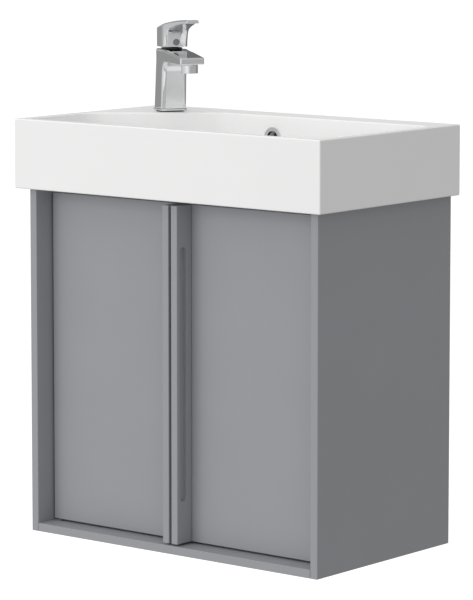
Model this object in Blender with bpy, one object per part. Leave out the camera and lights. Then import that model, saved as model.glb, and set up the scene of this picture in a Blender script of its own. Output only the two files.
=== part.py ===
"""A wall-hung bathroom vanity: two-door cabinet, furniture washbasin and single-lever mixer tap.

Metres, +Z up, +X to the right and -Y to the front. The origin is under the middle of the basin, level
with the cabinet's underside. The wall is the plane y = +WALL_Y.
"""

import math

import bmesh
import bpy
from mathutils import Vector

FIT_GAP = 0.0003  # between two pieces that touch
CUT_PAST = 0.010  # how far a cutting tool runs out past what it cuts

# Washbasin
BASIN_WIDTH = 0.600
BASIN_DEPTH = 0.350
BASIN_HEIGHT = 0.109
BASIN_EDGE = 0.002
RIM_WIDTH = 0.014
BACK_LEDGE = 0.057
DECK_ALONG_BACK = 0.182  # tap deck, from the basin's left side to where its slant meets the back ledge
DECK_ALONG_SIDE = 0.196  # tap deck, from the wall to where its slant meets the left rim
BOWL_DEPTH = 0.086
BOWL_FALL = 0.004  # the floor's fall from its edge to the waste
BOWL_DRAFT = 4.0  # degrees
BOWL_CORNER = 0.022
DECK_CORNER = 0.055
FLOOR_FILLET = 0.020
BOWL_WALL = 0.010
DECK_THICKNESS = 0.014
FOOT_WIDTH = 0.033  # the foot that sits on the cabinet, at the sides and the front
BASIN_BACK = 0.012
WASTE_X = -0.018
WASTE_FROM_WALL = 0.195
WASTE_BORE = 0.045  # diameter
WASTE_SEAT = 0.066  # diameter of the flange's recess
OVERFLOW_DROP = 0.034
OVERFLOW_BORE = 0.024
OVERFLOW_RING = 0.032
OVERFLOW_RING_HOLE = 0.0205
OVERFLOW_RING_PROUD = 0.0016
CHANNEL_WIDTH = 0.020
CHANNEL_DEPTH = 0.007
CHANNEL_WALL = 0.005
CHANNEL_ROOF = 0.004
WASTE_BOSS_WALL = 0.002  # round the flange's recess
WASTE_BOSS_RISE = 0.001  # above the basin's foot

# Cabinet
CABINET_HEIGHT = 0.542
SIDE_OVERHANG = 0.0165
FRONT_OVERHANG = 0.017
BOARD = 0.013
BOARD_EDGE = 0.0007
FRONT_RAIL_WIDTH = 0.032
BACK_RAIL_HEIGHT = 0.060
LOWER_RAIL_HEIGHT = 0.080
BACK_RECESS = 0.018
RAIL_BEHIND_TAB = 0.002
SHELF_HEIGHT = 0.240
SHELF_SIDE_GAP = 0.001
SHELF_SETBACK = 0.024  # behind the doors
SHELF_PIN = 0.005
SHELF_PIN_DEPTH = 0.009
SHELF_PIN_TONGUE = 0.008
SHELF_PIN_INSET = 0.040
SHELF_PIN_EDGE = 0.0004

# Doors
DOOR_THICKNESS = 0.016
DOOR_RECESS = 0.035
DOOR_GAP = 0.003
DOOR_TOP_GAP = 0.008
STRIP_THICKNESS = 0.012
STRIP_PROUD = 0.034
STRIP_GAP = 0.005
GROOVE_WIDTH = 0.0152
GROOVE_SETBACK = 0.0069
GROOVE_DEPTH = 0.006
GROOVE_FROM_BOTTOM = 0.0645
GROOVE_FROM_TOP = 0.0637

# Door pivots and catches
SWING_CLEARANCE = 0.0001
PIVOT_PIN = 0.004
PIVOT_RUNNING_GAP = 0.00005
PIN_REACH = 0.009
BUSH_WALL = 0.0015
BUSH_LENGTH = 0.011
PLATE_THICKNESS = 0.002
PLATE_WIDTH = 0.016
PLATE_LENGTH = 0.044
TONGUE_AIR = 0.002  # between the door's top and the upper pivot's tongue
TAB_DEPTH = 0.014
TAB_HEIGHT = 0.038
CATCH_X = 0.040
CATCH_WIDTH = 0.042
CATCH_HEIGHT = 0.014
CATCH_SETBACK = 0.002  # in front of the rail's back edge
CATCH_EDGE = 0.001
STRIKE_DROP = 0.003  # below the catch
STRIKE_THICKNESS = 0.0015
STRIKE_AIR = 0.0004

# Wall hangers
HANGER_HEIGHT = 0.056
HANGER_WIDTH = 0.020
HANGER_DEPTH = 0.040
HANGER_DROP = 0.004  # below the upper back rail
HANGER_EDGE = 0.0015
HOOK_THICKNESS = 0.0025
HOOK_HEIGHT = 0.022
HOOK_WIDTH = 0.014
WALL_PLATE_WIDTH = 0.050
WALL_PLATE_HEIGHT = 0.060
WALL_PLATE_THICKNESS = 0.0025
WALL_PLATE_JOG = 0.004
WALL_PLATE_INSET = 0.001  # from the side panel

# Waste and trap
WASTE_TUBE = 0.042
WASTE_TUBE_WALL = 0.002
WASTE_LENGTH = 0.070
WASTE_FLANGE = 0.0025
WASTE_BRIDGE_DROP = 0.018  # below the flange's seat
WASTE_BRIDGE_WIDTH = 0.010
WASTE_BRIDGE_HEIGHT = 0.005
WASTE_SLOT_WIDTH = 0.012
WASTE_SLOT_HEIGHT = 0.006
NUT_DIAMETER = 0.056
NUT_HEIGHT = 0.010
GASKET_THICKNESS = 0.003
GASKET_INSET = 0.002  # from the nut's edge
PLUG_DIAMETER = 0.039
PLUG_THICKNESS = 0.004
PLUG_TRAVEL = 0.008
PLUG_STEM = 0.008
PLUG_STEM_BELOW = 0.014  # below the bridge's top
PLUG_CROWN = 0.0008
TRAP_TUBE = 0.032
TRAP_TUBE_WALL = 0.0018
TRAP_CUP = 0.058
TRAP_CUP_HEIGHT = 0.062
TRAP_CUP_WALL = 0.0025
TRAP_DROP = 0.045  # from the waste's lower end to the outlet's axis
TRAP_NUT = 0.044
TRAP_SHOULDER = 0.004  # of the head, above and below its passage
TRAP_SPIGOT = 0.012  # out of the head
TRAP_COLLAR_WALL = 0.0035
TRAP_COLLAR_RISE = 0.012  # up the waste
TRAP_COLLAR_DROP = 0.014  # down the head
TRAP_AIR = 0.004  # between the waste and the head
OUTLET_PIPE = 0.031
OUTLET_NUT_BEFORE = 0.008  # over the spigot
OUTLET_NUT_AFTER = 0.010  # over the pipe
ROSETTE_DIAMETER = 0.064
ROSETTE_DEPTH = 0.008

# Tap, in its own frame: +X along the spout, heights above the deck
TAP_FROM_LEFT = 0.091
TAP_FROM_WALL = 0.082
TAP_TURN = -30.5  # degrees, so that the spout points at the waste
TAP_WIDTH = 0.0405
TAP_FOOT_WIDTH = 0.042
TAP_LEAN = 0.0075  # how far the column's top stands in front of its foot
TAP_TOP_EDGE = 0.004
TAP_CORNER = 0.007
TAP_TOP = 0.100
TAP_HOLE = 0.035
TAP_GASKET = 0.001
BASE_PLATE_WIDTH = 0.046
BASE_PLATE_HEIGHT = 0.003
SPOUT_WIDTH = 0.039
SPOUT_REACH = 0.106
SPOUT_FALL = 0.0095  # from the body's top to the top of the spout's tip
SPOUT_TIP_HEIGHT = 0.0105
SPOUT_TIP_EDGE = 0.002
SPOUT_SIDE_EDGE = 0.003
SPOUT_FILLET = 0.017
AERATOR_DIAMETER = 0.026
AERATOR_REACH = 0.0925
AERATOR_HEIGHT = 0.014
AERATOR_SEAT = 0.002
STUD_DIAMETER = 0.008
STUD_LENGTH = 0.062
STUD_IN_BODY = 0.012
CLAMP_PLATE_THICKNESS = 0.003
CLAMP_PLATE_OVERLAP = 0.004  # round the hole in the deck
CLAMP_NUT_WIDTH = 0.013
CLAMP_NUT_HEIGHT = 0.007
COLLAR_DIAMETER = 0.034
COLLAR_DEPTH = 0.008
COLLAR_PROUD = 0.0015
CARTRIDGE_DIAMETER = 0.024
STEM_DIAMETER = 0.010
STEM_RISE = 0.014  # above the body's top
LEVER_GAP = 0.002  # over the collar
LEVER_WIDTH = 0.042
LEVER_CORNER = 0.012
LEVER_FRONT_WIDTH = 0.040
LEVER_EDGE = 0.003
LEVER_FOOT_EDGE = 0.001
LEVER_REACH = 0.100
LEVER_TIP_WIDTH = 0.020
LEVER_REAR_HEIGHT = 0.0285
LEVER_FRONT_HEIGHT = 0.0383
LEVER_TIP_HEIGHT = 0.0465
LEVER_TIP_THICKNESS = 0.0055
LEVER_CAVITY_LENGTH = 0.022
LEVER_CAVITY_WIDTH = 0.026
LEVER_CAVITY_HEIGHT = 0.020
LEVER_TONGUE_RISE = 0.0165  # the rise of the tongue's underside, from the block to the tip
LIFT_AXIS_BACK = 0.014
LIFT_AXIS_UP = 0.0025  # from the lever's bottom
INDICATOR_DIAMETER = 0.0105
INDICATOR_THICKNESS = 0.0015
INDICATOR_PROUD = 0.0008
INDICATOR_UP = 0.0075  # from the lever's bottom

# Places worked out from the sizes
WALL_Y = BASIN_DEPTH / 2
BASIN_BOTTOM = CABINET_HEIGHT + FIT_GAP
BASIN_TOP = CABINET_HEIGHT + BASIN_HEIGHT
CABINET_X = BASIN_WIDTH / 2 - SIDE_OVERHANG
CABINET_FRONT = FRONT_OVERHANG - BASIN_DEPTH / 2
INNER_X = CABINET_X - BOARD
DOOR_FRONT = CABINET_FRONT + DOOR_RECESS
DOOR_BACK = DOOR_FRONT + DOOR_THICKNESS
DOOR_OUTER_X = INNER_X - DOOR_GAP
DOOR_BOTTOM = BOARD + DOOR_GAP
DOOR_TOP = CABINET_HEIGHT - DOOR_TOP_GAP
STRIP_FRONT = DOOR_FRONT - STRIP_PROUD
STRIP_OUTER_X = STRIP_GAP / 2 + STRIP_THICKNESS
PIVOT_INSET = (DOOR_GAP - SWING_CLEARANCE) / (math.sqrt(2) - 1)
PIVOT_X = DOOR_OUTER_X - PIVOT_INSET
PIVOT_Y = DOOR_FRONT + PIVOT_INSET
CORNER_SWEEP = math.hypot(DOOR_THICKNESS - PIVOT_INSET, PIVOT_INSET)
TAB_FRONT = PIVOT_Y + CORNER_SWEEP + 15 * SWING_CLEARANCE
FRONT_RAIL_FRONT = TAB_FRONT + TAB_DEPTH + RAIL_BEHIND_TAB
FRONT_RAIL_BACK = FRONT_RAIL_FRONT + FRONT_RAIL_WIDTH
BACK_RAIL_BACK = WALL_Y - BACK_RECESS
BACK_RAIL_FRONT = BACK_RAIL_BACK - BOARD
WASTE_Y = WALL_Y - WASTE_FROM_WALL
BOWL_BACK = WALL_Y - BACK_LEDGE
WASTE_FLOOR = BASIN_TOP - BOWL_DEPTH - BOWL_FALL
TAP_X = TAP_FROM_LEFT - BASIN_WIDTH / 2
TAP_Y = WALL_Y - TAP_FROM_WALL
TAP_BODY_BOTTOM = TAP_GASKET + BASE_PLATE_HEIGHT + 3 * FIT_GAP
SPOUT_TIP_TOP = TAP_TOP - SPOUT_FALL
LEVER_BOTTOM = TAP_TOP + COLLAR_PROUD + LEVER_GAP
LEVER_TIP_TOP = LEVER_BOTTOM + LEVER_TIP_HEIGHT
LIFT_AXIS_HEIGHT = LEVER_BOTTOM + LIFT_AXIS_UP
SIDES = (("left", -1), ("right", 1))


# ---------------------------------------------------------------- making shapes


def clear_scene():
    for obj in list(bpy.data.objects):
        bpy.data.objects.remove(obj, do_unlink=True)


def finish(name, colour, roughness, metallic=0.0):
    """A Principled material of one colour."""
    material = bpy.data.materials.new(name)
    material.use_nodes = True
    shader = material.node_tree.nodes["Principled BSDF"]
    shader.inputs["Base Color"].default_value = (*colour, 1.0)
    shader.inputs["Roughness"].default_value = roughness
    shader.inputs["Metallic"].default_value = metallic
    return material


def pivot(name, place, parent=None, turn=0.0):
    """An empty that carries the pieces of one moving group, on their joint's axis."""
    empty = bpy.data.objects.new(name, None)
    bpy.context.scene.collection.objects.link(empty)
    empty.location = place
    empty.rotation_euler.z = turn
    empty.parent = parent
    return empty


def solid(name, shape, material, place=(0, 0, 0), parent=None):
    """Turns a bmesh, made about its own origin, into a named object at a place."""
    bmesh.ops.recalc_face_normals(shape, faces=shape.faces)
    if shape.calc_volume(signed=True) < 0:
        bmesh.ops.reverse_faces(shape, faces=shape.faces)
    mesh = bpy.data.meshes.new(name)
    shape.to_mesh(mesh)
    shape.free()
    mesh.shade_smooth()
    mesh.set_sharp_from_angle(angle=math.radians(30))
    mesh.materials.append(material)
    obj = bpy.data.objects.new(name, mesh)
    bpy.context.scene.collection.objects.link(obj)
    obj.location = place
    obj.parent = parent
    return obj


def cutter(name, shape, place=(0, 0, 0), parent=None):
    """A hidden guide solid for the Booleans."""
    obj = solid(name, shape, CUTTER, place, parent)
    obj.hide_render = True
    obj.display_type = "WIRE"
    return obj


def combine(obj, other, operation="DIFFERENCE"):
    """Cuts another solid from an object, or joins it on."""
    modifier = obj.modifiers.new(other.name, "BOOLEAN")
    modifier.operation = operation
    modifier.object = other
    modifier.solver = "EXACT"


def block(size, edge=0.0, segments=1):
    """A box about the origin, its edges rounded."""
    shape = bmesh.new()
    bmesh.ops.create_cube(shape, size=1.0)
    bmesh.ops.scale(shape, vec=size, verts=shape.verts)
    if edge:
        bmesh.ops.bevel(
            shape, geom=shape.edges[:], offset=edge, segments=segments, profile=0.5, affect="EDGES"
        )
    return shape


def board(name, near, far, material, edge=BOARD_EDGE, parent=None, make=None, segments=1):
    """A box between two opposite corners, given in the world frame."""
    low = Vector(map(min, near, far))
    high = Vector(map(max, near, far))
    place = (low + high) / 2
    if parent:
        place -= parent.location
    shape = block(high - low, edge, segments)
    if make:
        return make(name, shape, place, parent)
    return solid(name, shape, material, place, parent)


def cut_box(name, near, far, parent=None):
    return board(name, near, far, None, 0.0, parent, cutter)


def turned(profile, sides=24):
    """A solid turned about Z from a loop of (radius, height) points, open only where it meets the axis."""
    shape = bmesh.new()
    points = [shape.verts.new((radius, 0, height)) for radius, height in profile]
    edges = [shape.edges.new(pair) for pair in zip(points, points[1:])]
    if profile[0][0] or profile[-1][0]:
        edges.append(shape.edges.new((points[-1], points[0])))
    bmesh.ops.spin(
        shape, geom=points + edges, axis=(0, 0, 1), angle=math.tau, steps=sides, use_merge=True
    )
    bmesh.ops.remove_doubles(shape, verts=shape.verts, dist=1e-6)
    return shape


def rod(radius, low, high, sides=24, edge=0.0):
    """A round bar on Z, with both ends chamfered."""
    return turned(
        [(0, low), (radius - edge, low), (radius, low + edge), (radius, high - edge),
         (radius - edge, high), (0, high)] if edge else
        [(0, low), (radius, low), (radius, high), (0, high)],
        sides,
    )


def tube(inner, outer, low, high, sides=24):
    return turned([(inner, low), (outer, low), (outer, high), (inner, high)], sides)


def tip_over(shape, axis):
    """Turns a shape made on Z so that it lies along X or Y."""
    swap = {"X": lambda c: (c.z, c.x, c.y), "Y": lambda c: (c.x, c.z, c.y), "Z": lambda c: tuple(c)}
    for vert in shape.verts:
        vert.co = swap[axis](vert.co)
    return shape


def rounded(corners, inset=0.0, steps=4):
    """Points round a convex outline of (x, y, radius) corners, anticlockwise and moved in by an inset."""
    points = []
    for i, (x, y, radius) in enumerate(corners):
        here = Vector((x, y))
        before = (here - Vector(corners[i - 1][:2])).normalized()
        after = (Vector(corners[(i + 1) % len(corners)][:2]) - here).normalized()
        inward = [Vector((-d.y, d.x)) for d in (before, after)]
        turn = math.atan2(before.cross(after), before.dot(after))
        bend = max(radius - inset, 0.0003)
        centre = here + (inset + bend) * (inward[0] + inward[1]) / (1 + inward[0].dot(inward[1]))
        start = math.atan2(-inward[0].y, -inward[0].x)
        for k in range(steps + 1):
            angle = start + turn * k / steps
            points.append((centre.x + bend * math.cos(angle), centre.y + bend * math.sin(angle)))
    return points


def rectangle(width, height, radius, steps=4):
    x = width / 2
    y = height / 2
    return rounded([(-x, -y, radius), (x, -y, radius), (x, y, radius), (-x, y, radius)], 0.0, steps)


def loft(rings):
    """A solid skinned over rings of as many points each, closed at both ends."""
    shape = bmesh.new()
    loops = [[shape.verts.new(point) for point in ring] for ring in rings]
    count = len(loops[0])
    for near, far in zip(loops, loops[1:]):
        for k in range(count):
            after = (k + 1) % count
            shape.faces.new((near[k], near[after], far[after], far[k]))
    shape.faces.new(loops[0])
    shape.faces.new(loops[-1])
    return shape


def prism(outline, low, high, axis="Z"):
    """An outline in the plane across an axis, drawn out along it."""
    rings = [[(a, b, height) for a, b in outline] for height in (low, high)]
    return tip_over(loft(rings), axis)


# ---------------------------------------------------------------- cabinet


def make_carcass():
    for side, sign in SIDES:
        panel = board(
            f"{side}_side_panel",
            (sign * INNER_X, CABINET_FRONT, 0),
            (sign * CABINET_X, WALL_Y, CABINET_HEIGHT),
            LACQUER,
        )
        for where, y in shelf_pin_places():
            depth = SHELF_PIN_DEPTH + FIT_GAP
            hole = rod(SHELF_PIN / 2 + FIT_GAP, -CUT_PAST, depth, 12)
            tip_over(hole, "X")
            if sign < 0:
                bmesh.ops.scale(hole, vec=(-1, 1, 1), verts=hole.verts)
            place = (sign * INNER_X, y, SHELF_HEIGHT - FIT_GAP - SHELF_PIN / 2)
            combine(panel, cutter(f"{side}_{where}_pin_hole", hole, place))
    inside = INNER_X - FIT_GAP
    board("bottom_panel", (-inside, CABINET_FRONT, 0), (inside, WALL_Y, BOARD), LACQUER)
    board(
        "front_rail",
        (-inside, FRONT_RAIL_FRONT, CABINET_HEIGHT - BOARD),
        (inside, FRONT_RAIL_BACK, CABINET_HEIGHT),
        LACQUER,
    )
    board(
        "upper_back_rail",
        (-inside, BACK_RAIL_FRONT, CABINET_HEIGHT - BACK_RAIL_HEIGHT),
        (inside, BACK_RAIL_BACK, CABINET_HEIGHT),
        LACQUER,
    )
    board(
        "lower_back_rail",
        (-inside, BACK_RAIL_FRONT, BOARD + FIT_GAP),
        (inside, BACK_RAIL_BACK, BOARD + FIT_GAP + LOWER_RAIL_HEIGHT),
        LACQUER,
    )


def shelf_span():
    """Front and back edge of the shelf."""
    return DOOR_BACK + SHELF_SETBACK, BACK_RAIL_FRONT - SHELF_SIDE_GAP


def shelf_pin_places():
    front, back = shelf_span()
    return (("front", front + SHELF_PIN_INSET), ("rear", back - SHELF_PIN_INSET))


def make_shelf():
    front, back = shelf_span()
    half = INNER_X - SHELF_SIDE_GAP
    board("shelf", (-half, front, SHELF_HEIGHT), (half, back, SHELF_HEIGHT + BOARD), LACQUER)
    for side, sign in SIDES:
        for where, y in shelf_pin_places():
            pin = rod(SHELF_PIN / 2, -SHELF_PIN_TONGUE, SHELF_PIN_DEPTH, 12, SHELF_PIN_EDGE)
            tip_over(pin, "X")
            if sign < 0:
                bmesh.ops.scale(pin, vec=(-1, 1, 1), verts=pin.verts)
            place = (sign * INNER_X, y, SHELF_HEIGHT - FIT_GAP - SHELF_PIN / 2)
            solid(f"{side}_{where}_shelf_pin", pin, STEEL, place)


# ---------------------------------------------------------------- doors


def make_door(side, sign, axis):
    """A door panel and its upright grip board, drilled for the pivot bushes."""
    door = board(
        f"{side}_door",
        (sign * (STRIP_OUTER_X + FIT_GAP), DOOR_FRONT, DOOR_BOTTOM),
        (sign * DOOR_OUTER_X, DOOR_BACK, DOOR_TOP),
        LACQUER,
        parent=axis,
    )
    hole = BUSH_LENGTH + FIT_GAP
    radius = PIVOT_PIN / 2 + PIVOT_RUNNING_GAP + BUSH_WALL + FIT_GAP
    for where, low, high in (
        ("lower", DOOR_BOTTOM - CUT_PAST, DOOR_BOTTOM + hole),
        ("upper", DOOR_TOP - hole, DOOR_TOP + CUT_PAST),
    ):
        combine(door, cutter(f"{side}_{where}_bush_hole", rod(radius, low, high, 16), parent=axis))
    grip = board(
        f"{side}_grip_board",
        (sign * STRIP_GAP / 2, STRIP_FRONT, DOOR_BOTTOM),
        (sign * STRIP_OUTER_X, DOOR_BACK, DOOR_TOP),
        LACQUER,
        parent=axis,
    )
    low = DOOR_BOTTOM + GROOVE_FROM_BOTTOM
    high = DOOR_TOP - GROOVE_FROM_TOP
    outline = rectangle(GROOVE_WIDTH, high - low, GROOVE_WIDTH / 2, 6)
    groove = prism(outline, -GROOVE_DEPTH, GROOVE_DEPTH, "X")
    place = Vector((
        sign * STRIP_OUTER_X,
        STRIP_FRONT + GROOVE_SETBACK + GROOVE_WIDTH / 2,
        (low + high) / 2,
    ))
    combine(grip, cutter(f"{side}_groove", groove, place - axis.location, axis))


def make_bushes(side, axis):
    inner = PIVOT_PIN / 2 + PIVOT_RUNNING_GAP
    for where, low in (
        ("lower", DOOR_BOTTOM),
        ("upper", DOOR_TOP - BUSH_LENGTH),
    ):
        ring = tube(inner, inner + BUSH_WALL, low, low + BUSH_LENGTH, 24)
        solid(f"{side}_{where}_bush", ring, PLASTIC, parent=axis)


def make_pivots(side, sign):
    """The fixed halves of the pivots: a plate on the floor and an angle on the side panel, each with its pin."""
    bottom = BOARD + FIT_GAP
    half = PLATE_WIDTH / 2
    lower = board(
        f"{side}_lower_pivot",
        (sign * (PIVOT_X - half), PIVOT_Y - half, bottom),
        (sign * (INNER_X - FIT_GAP), PIVOT_Y - half + PLATE_LENGTH, bottom + PLATE_THICKNESS),
        STEEL,
        edge=0,
    )
    pin = rod(PIVOT_PIN / 2, bottom + PLATE_THICKNESS / 2, DOOR_BOTTOM + PIN_REACH, 24)
    combine(lower, cutter(f"{side}_lower_pin", pin, (sign * PIVOT_X, PIVOT_Y, 0)), "UNION")
    tongue = DOOR_TOP + TONGUE_AIR
    upper = board(
        f"{side}_upper_pivot",
        (sign * (PIVOT_X - half), PIVOT_Y - half, tongue),
        (sign * (INNER_X - FIT_GAP), TAB_FRONT + TAB_DEPTH, tongue + PLATE_THICKNESS),
        STEEL,
        edge=0,
    )
    tab = cut_box(
        f"{side}_upper_tab",
        (sign * (INNER_X - FIT_GAP), TAB_FRONT, tongue + PLATE_THICKNESS - TAB_HEIGHT),
        (sign * (INNER_X - FIT_GAP - PLATE_THICKNESS), TAB_FRONT + TAB_DEPTH, tongue + PLATE_THICKNESS / 2),
    )
    combine(upper, tab, "UNION")
    pin = rod(PIVOT_PIN / 2, DOOR_TOP - PIN_REACH, tongue + PLATE_THICKNESS / 2, 24)
    combine(upper, cutter(f"{side}_upper_pin", pin, (sign * PIVOT_X, PIVOT_Y, 0)), "UNION")


def make_catch(side, sign, axis):
    """A magnetic catch under the front rail and its strike plate on the door's back."""
    near = sign * (CATCH_X - CATCH_WIDTH / 2)
    far = sign * (CATCH_X + CATCH_WIDTH / 2)
    top = CABINET_HEIGHT - BOARD - FIT_GAP
    strike_back = DOOR_BACK + FIT_GAP + STRIKE_THICKNESS
    board(
        f"{side}_catch",
        (near, strike_back + STRIKE_AIR, top - CATCH_HEIGHT),
        (far, FRONT_RAIL_BACK - CATCH_SETBACK, top),
        PLASTIC,
        edge=CATCH_EDGE,
    )
    board(
        f"{side}_strike_plate",
        (near, DOOR_BACK + FIT_GAP, top - CATCH_HEIGHT - STRIKE_DROP),
        (far, strike_back, top),
        STEEL,
        edge=0,
        parent=axis,
    )


def make_doors():
    for side, sign in SIDES:
        axis = pivot(f"{side}_door_axis", (sign * PIVOT_X, PIVOT_Y, 0))
        make_door(side, sign, axis)
        make_bushes(side, axis)
        make_pivots(side, sign)
        make_catch(side, sign, axis)


# ---------------------------------------------------------------- wall hangers


def make_hanger(side, sign):
    """A plastic hanger on the side panel, its steel hook, and the plate on the wall that takes the hook."""
    top = CABINET_HEIGHT - BACK_RAIL_HEIGHT - HANGER_DROP
    outer = INNER_X - FIT_GAP
    body_back = BACK_RAIL_BACK
    board(
        f"{side}_hanger",
        (sign * outer, body_back - HANGER_DEPTH, top - HANGER_HEIGHT),
        (sign * (outer - HANGER_WIDTH), body_back, top),
        PLASTIC,
        edge=HANGER_EDGE,
    )
    middle = outer - HANGER_WIDTH / 2
    plate_front = WALL_Y - FIT_GAP - WALL_PLATE_THICKNESS
    lip_back = plate_front - WALL_PLATE_JOG
    hook_y = lip_back - WALL_PLATE_THICKNESS - FIT_GAP
    hook_top = top - HANGER_HEIGHT / 3
    hook = board(
        f"{side}_hook",
        (sign * (middle - HOOK_WIDTH / 2), body_back + FIT_GAP, hook_top - HOOK_THICKNESS),
        (sign * (middle + HOOK_WIDTH / 2), plate_front - FIT_GAP, hook_top),
        STEEL,
        edge=0,
    )
    toe = cut_box(
        f"{side}_hook_toe",
        (sign * (middle - HOOK_WIDTH / 2), lip_back + FIT_GAP, hook_top - HOOK_HEIGHT),
        (sign * (middle + HOOK_WIDTH / 2), plate_front - FIT_GAP, hook_top - HOOK_THICKNESS / 2),
    )
    heel = cut_box(
        f"{side}_hook_heel",
        (sign * (middle - HOOK_WIDTH / 2), body_back + FIT_GAP, hook_top - HOOK_HEIGHT),
        (sign * (middle + HOOK_WIDTH / 2), body_back + FIT_GAP + HOOK_THICKNESS, hook_top - HOOK_THICKNESS / 2),
    )
    combine(hook, toe, "UNION")
    combine(hook, heel, "UNION")
    lip_top = hook_top - HOOK_THICKNESS - FIT_GAP
    plate_near = outer - WALL_PLATE_INSET
    plate = board(
        f"{side}_wall_plate",
        (sign * plate_near, plate_front, lip_top - WALL_PLATE_HEIGHT),
        (sign * (plate_near - WALL_PLATE_WIDTH), WALL_Y - FIT_GAP, hook_top - HOOK_HEIGHT - FIT_GAP),
        STEEL,
        edge=0,
    )
    step_top = hook_top - HOOK_HEIGHT - FIT_GAP
    step = cut_box(
        f"{side}_plate_step",
        (sign * plate_near, hook_y + FIT_GAP, step_top - WALL_PLATE_THICKNESS),
        (sign * (plate_near - WALL_PLATE_WIDTH), plate_front + WALL_PLATE_THICKNESS / 2, step_top),
    )
    lip = cut_box(
        f"{side}_plate_lip",
        (sign * plate_near, hook_y + FIT_GAP, step_top - WALL_PLATE_THICKNESS / 2),
        (sign * (plate_near - WALL_PLATE_WIDTH), lip_back, lip_top),
    )
    combine(plate, step, "UNION")
    combine(plate, lip, "UNION")


# ---------------------------------------------------------------- basin


def bowl_corners():
    left = RIM_WIDTH - BASIN_WIDTH / 2
    right = -left
    front = RIM_WIDTH - BASIN_DEPTH / 2
    return [
        (left, front, BOWL_CORNER),
        (right, front, BOWL_CORNER),
        (right, BOWL_BACK, BOWL_CORNER),
        (DECK_ALONG_BACK - BASIN_WIDTH / 2, BOWL_BACK, DECK_CORNER),
        (left, WALL_Y - DECK_ALONG_SIDE, DECK_CORNER),
    ]


def bowl_rings(thickness, seat):
    """Rings down the bowl's wall and over its floor to a round seat. A thickness gives its outer side."""
    slope = math.tan(math.radians(BOWL_DRAFT))
    fillet = FLOOR_FILLET
    floor = BOWL_DEPTH + thickness
    wall_end = floor - fillet - thickness
    profile = [(-thickness, 0.0), (slope * wall_end - thickness, wall_end)]
    for k in range(1, 5):
        angle = math.radians(90 * k / 4)
        reach = fillet + thickness
        profile.append((
            slope * wall_end - thickness + reach * (1 - math.cos(angle)),
            wall_end + reach * math.sin(angle),
        ))
    rings = [
        [(x, y, BASIN_TOP - depth) for x, y in rounded(bowl_corners(), inset)]
        for inset, depth in profile
    ]
    seat_ring = []
    for x, y, _ in rings[-1]:
        away = Vector((x - WASTE_X, y - WASTE_Y)).normalized() * seat
        seat_ring.append((WASTE_X + away.x, WASTE_Y + away.y, WASTE_FLOOR - thickness))
    return rings + [seat_ring]


def bowl_inside():
    """What the bowl holds: its space, with the rim's inner edge eased."""
    rings = bowl_rings(0.0, WASTE_SEAT / 2)
    eased = [(x, y, BASIN_TOP - BASIN_EDGE / 2) for x, y in rounded(bowl_corners(), 0.0)]
    mouth = [
        [(x, y, BASIN_TOP + lift) for x, y in rounded(bowl_corners(), -BASIN_EDGE / 2)]
        for lift in (CUT_PAST, 0.0)
    ]
    return loft(mouth + [eased] + rings[1:])


def channel_boxes():
    """Corners of the overflow channel: the shaft behind the bowl and the run under its floor."""
    half = CHANNEL_WIDTH / 2
    slope = math.tan(math.radians(BOWL_DRAFT))
    wall_back = BOWL_BACK - slope * OVERFLOW_DROP + BOWL_WALL
    shaft_back = wall_back + CHANNEL_DEPTH * 2
    run_bottom = BASIN_BOTTOM + CHANNEL_WALL
    run_top = run_bottom + CHANNEL_DEPTH
    shaft = (
        Vector((WASTE_X - half, wall_back, run_bottom)),
        Vector((WASTE_X + half, shaft_back, BASIN_TOP - OVERFLOW_DROP + OVERFLOW_BORE / 2)),
    )
    run = (
        Vector((WASTE_X - half, WASTE_Y, run_bottom)),
        Vector((WASTE_X + half, shaft_back, run_top)),
    )
    return shaft, run


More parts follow.
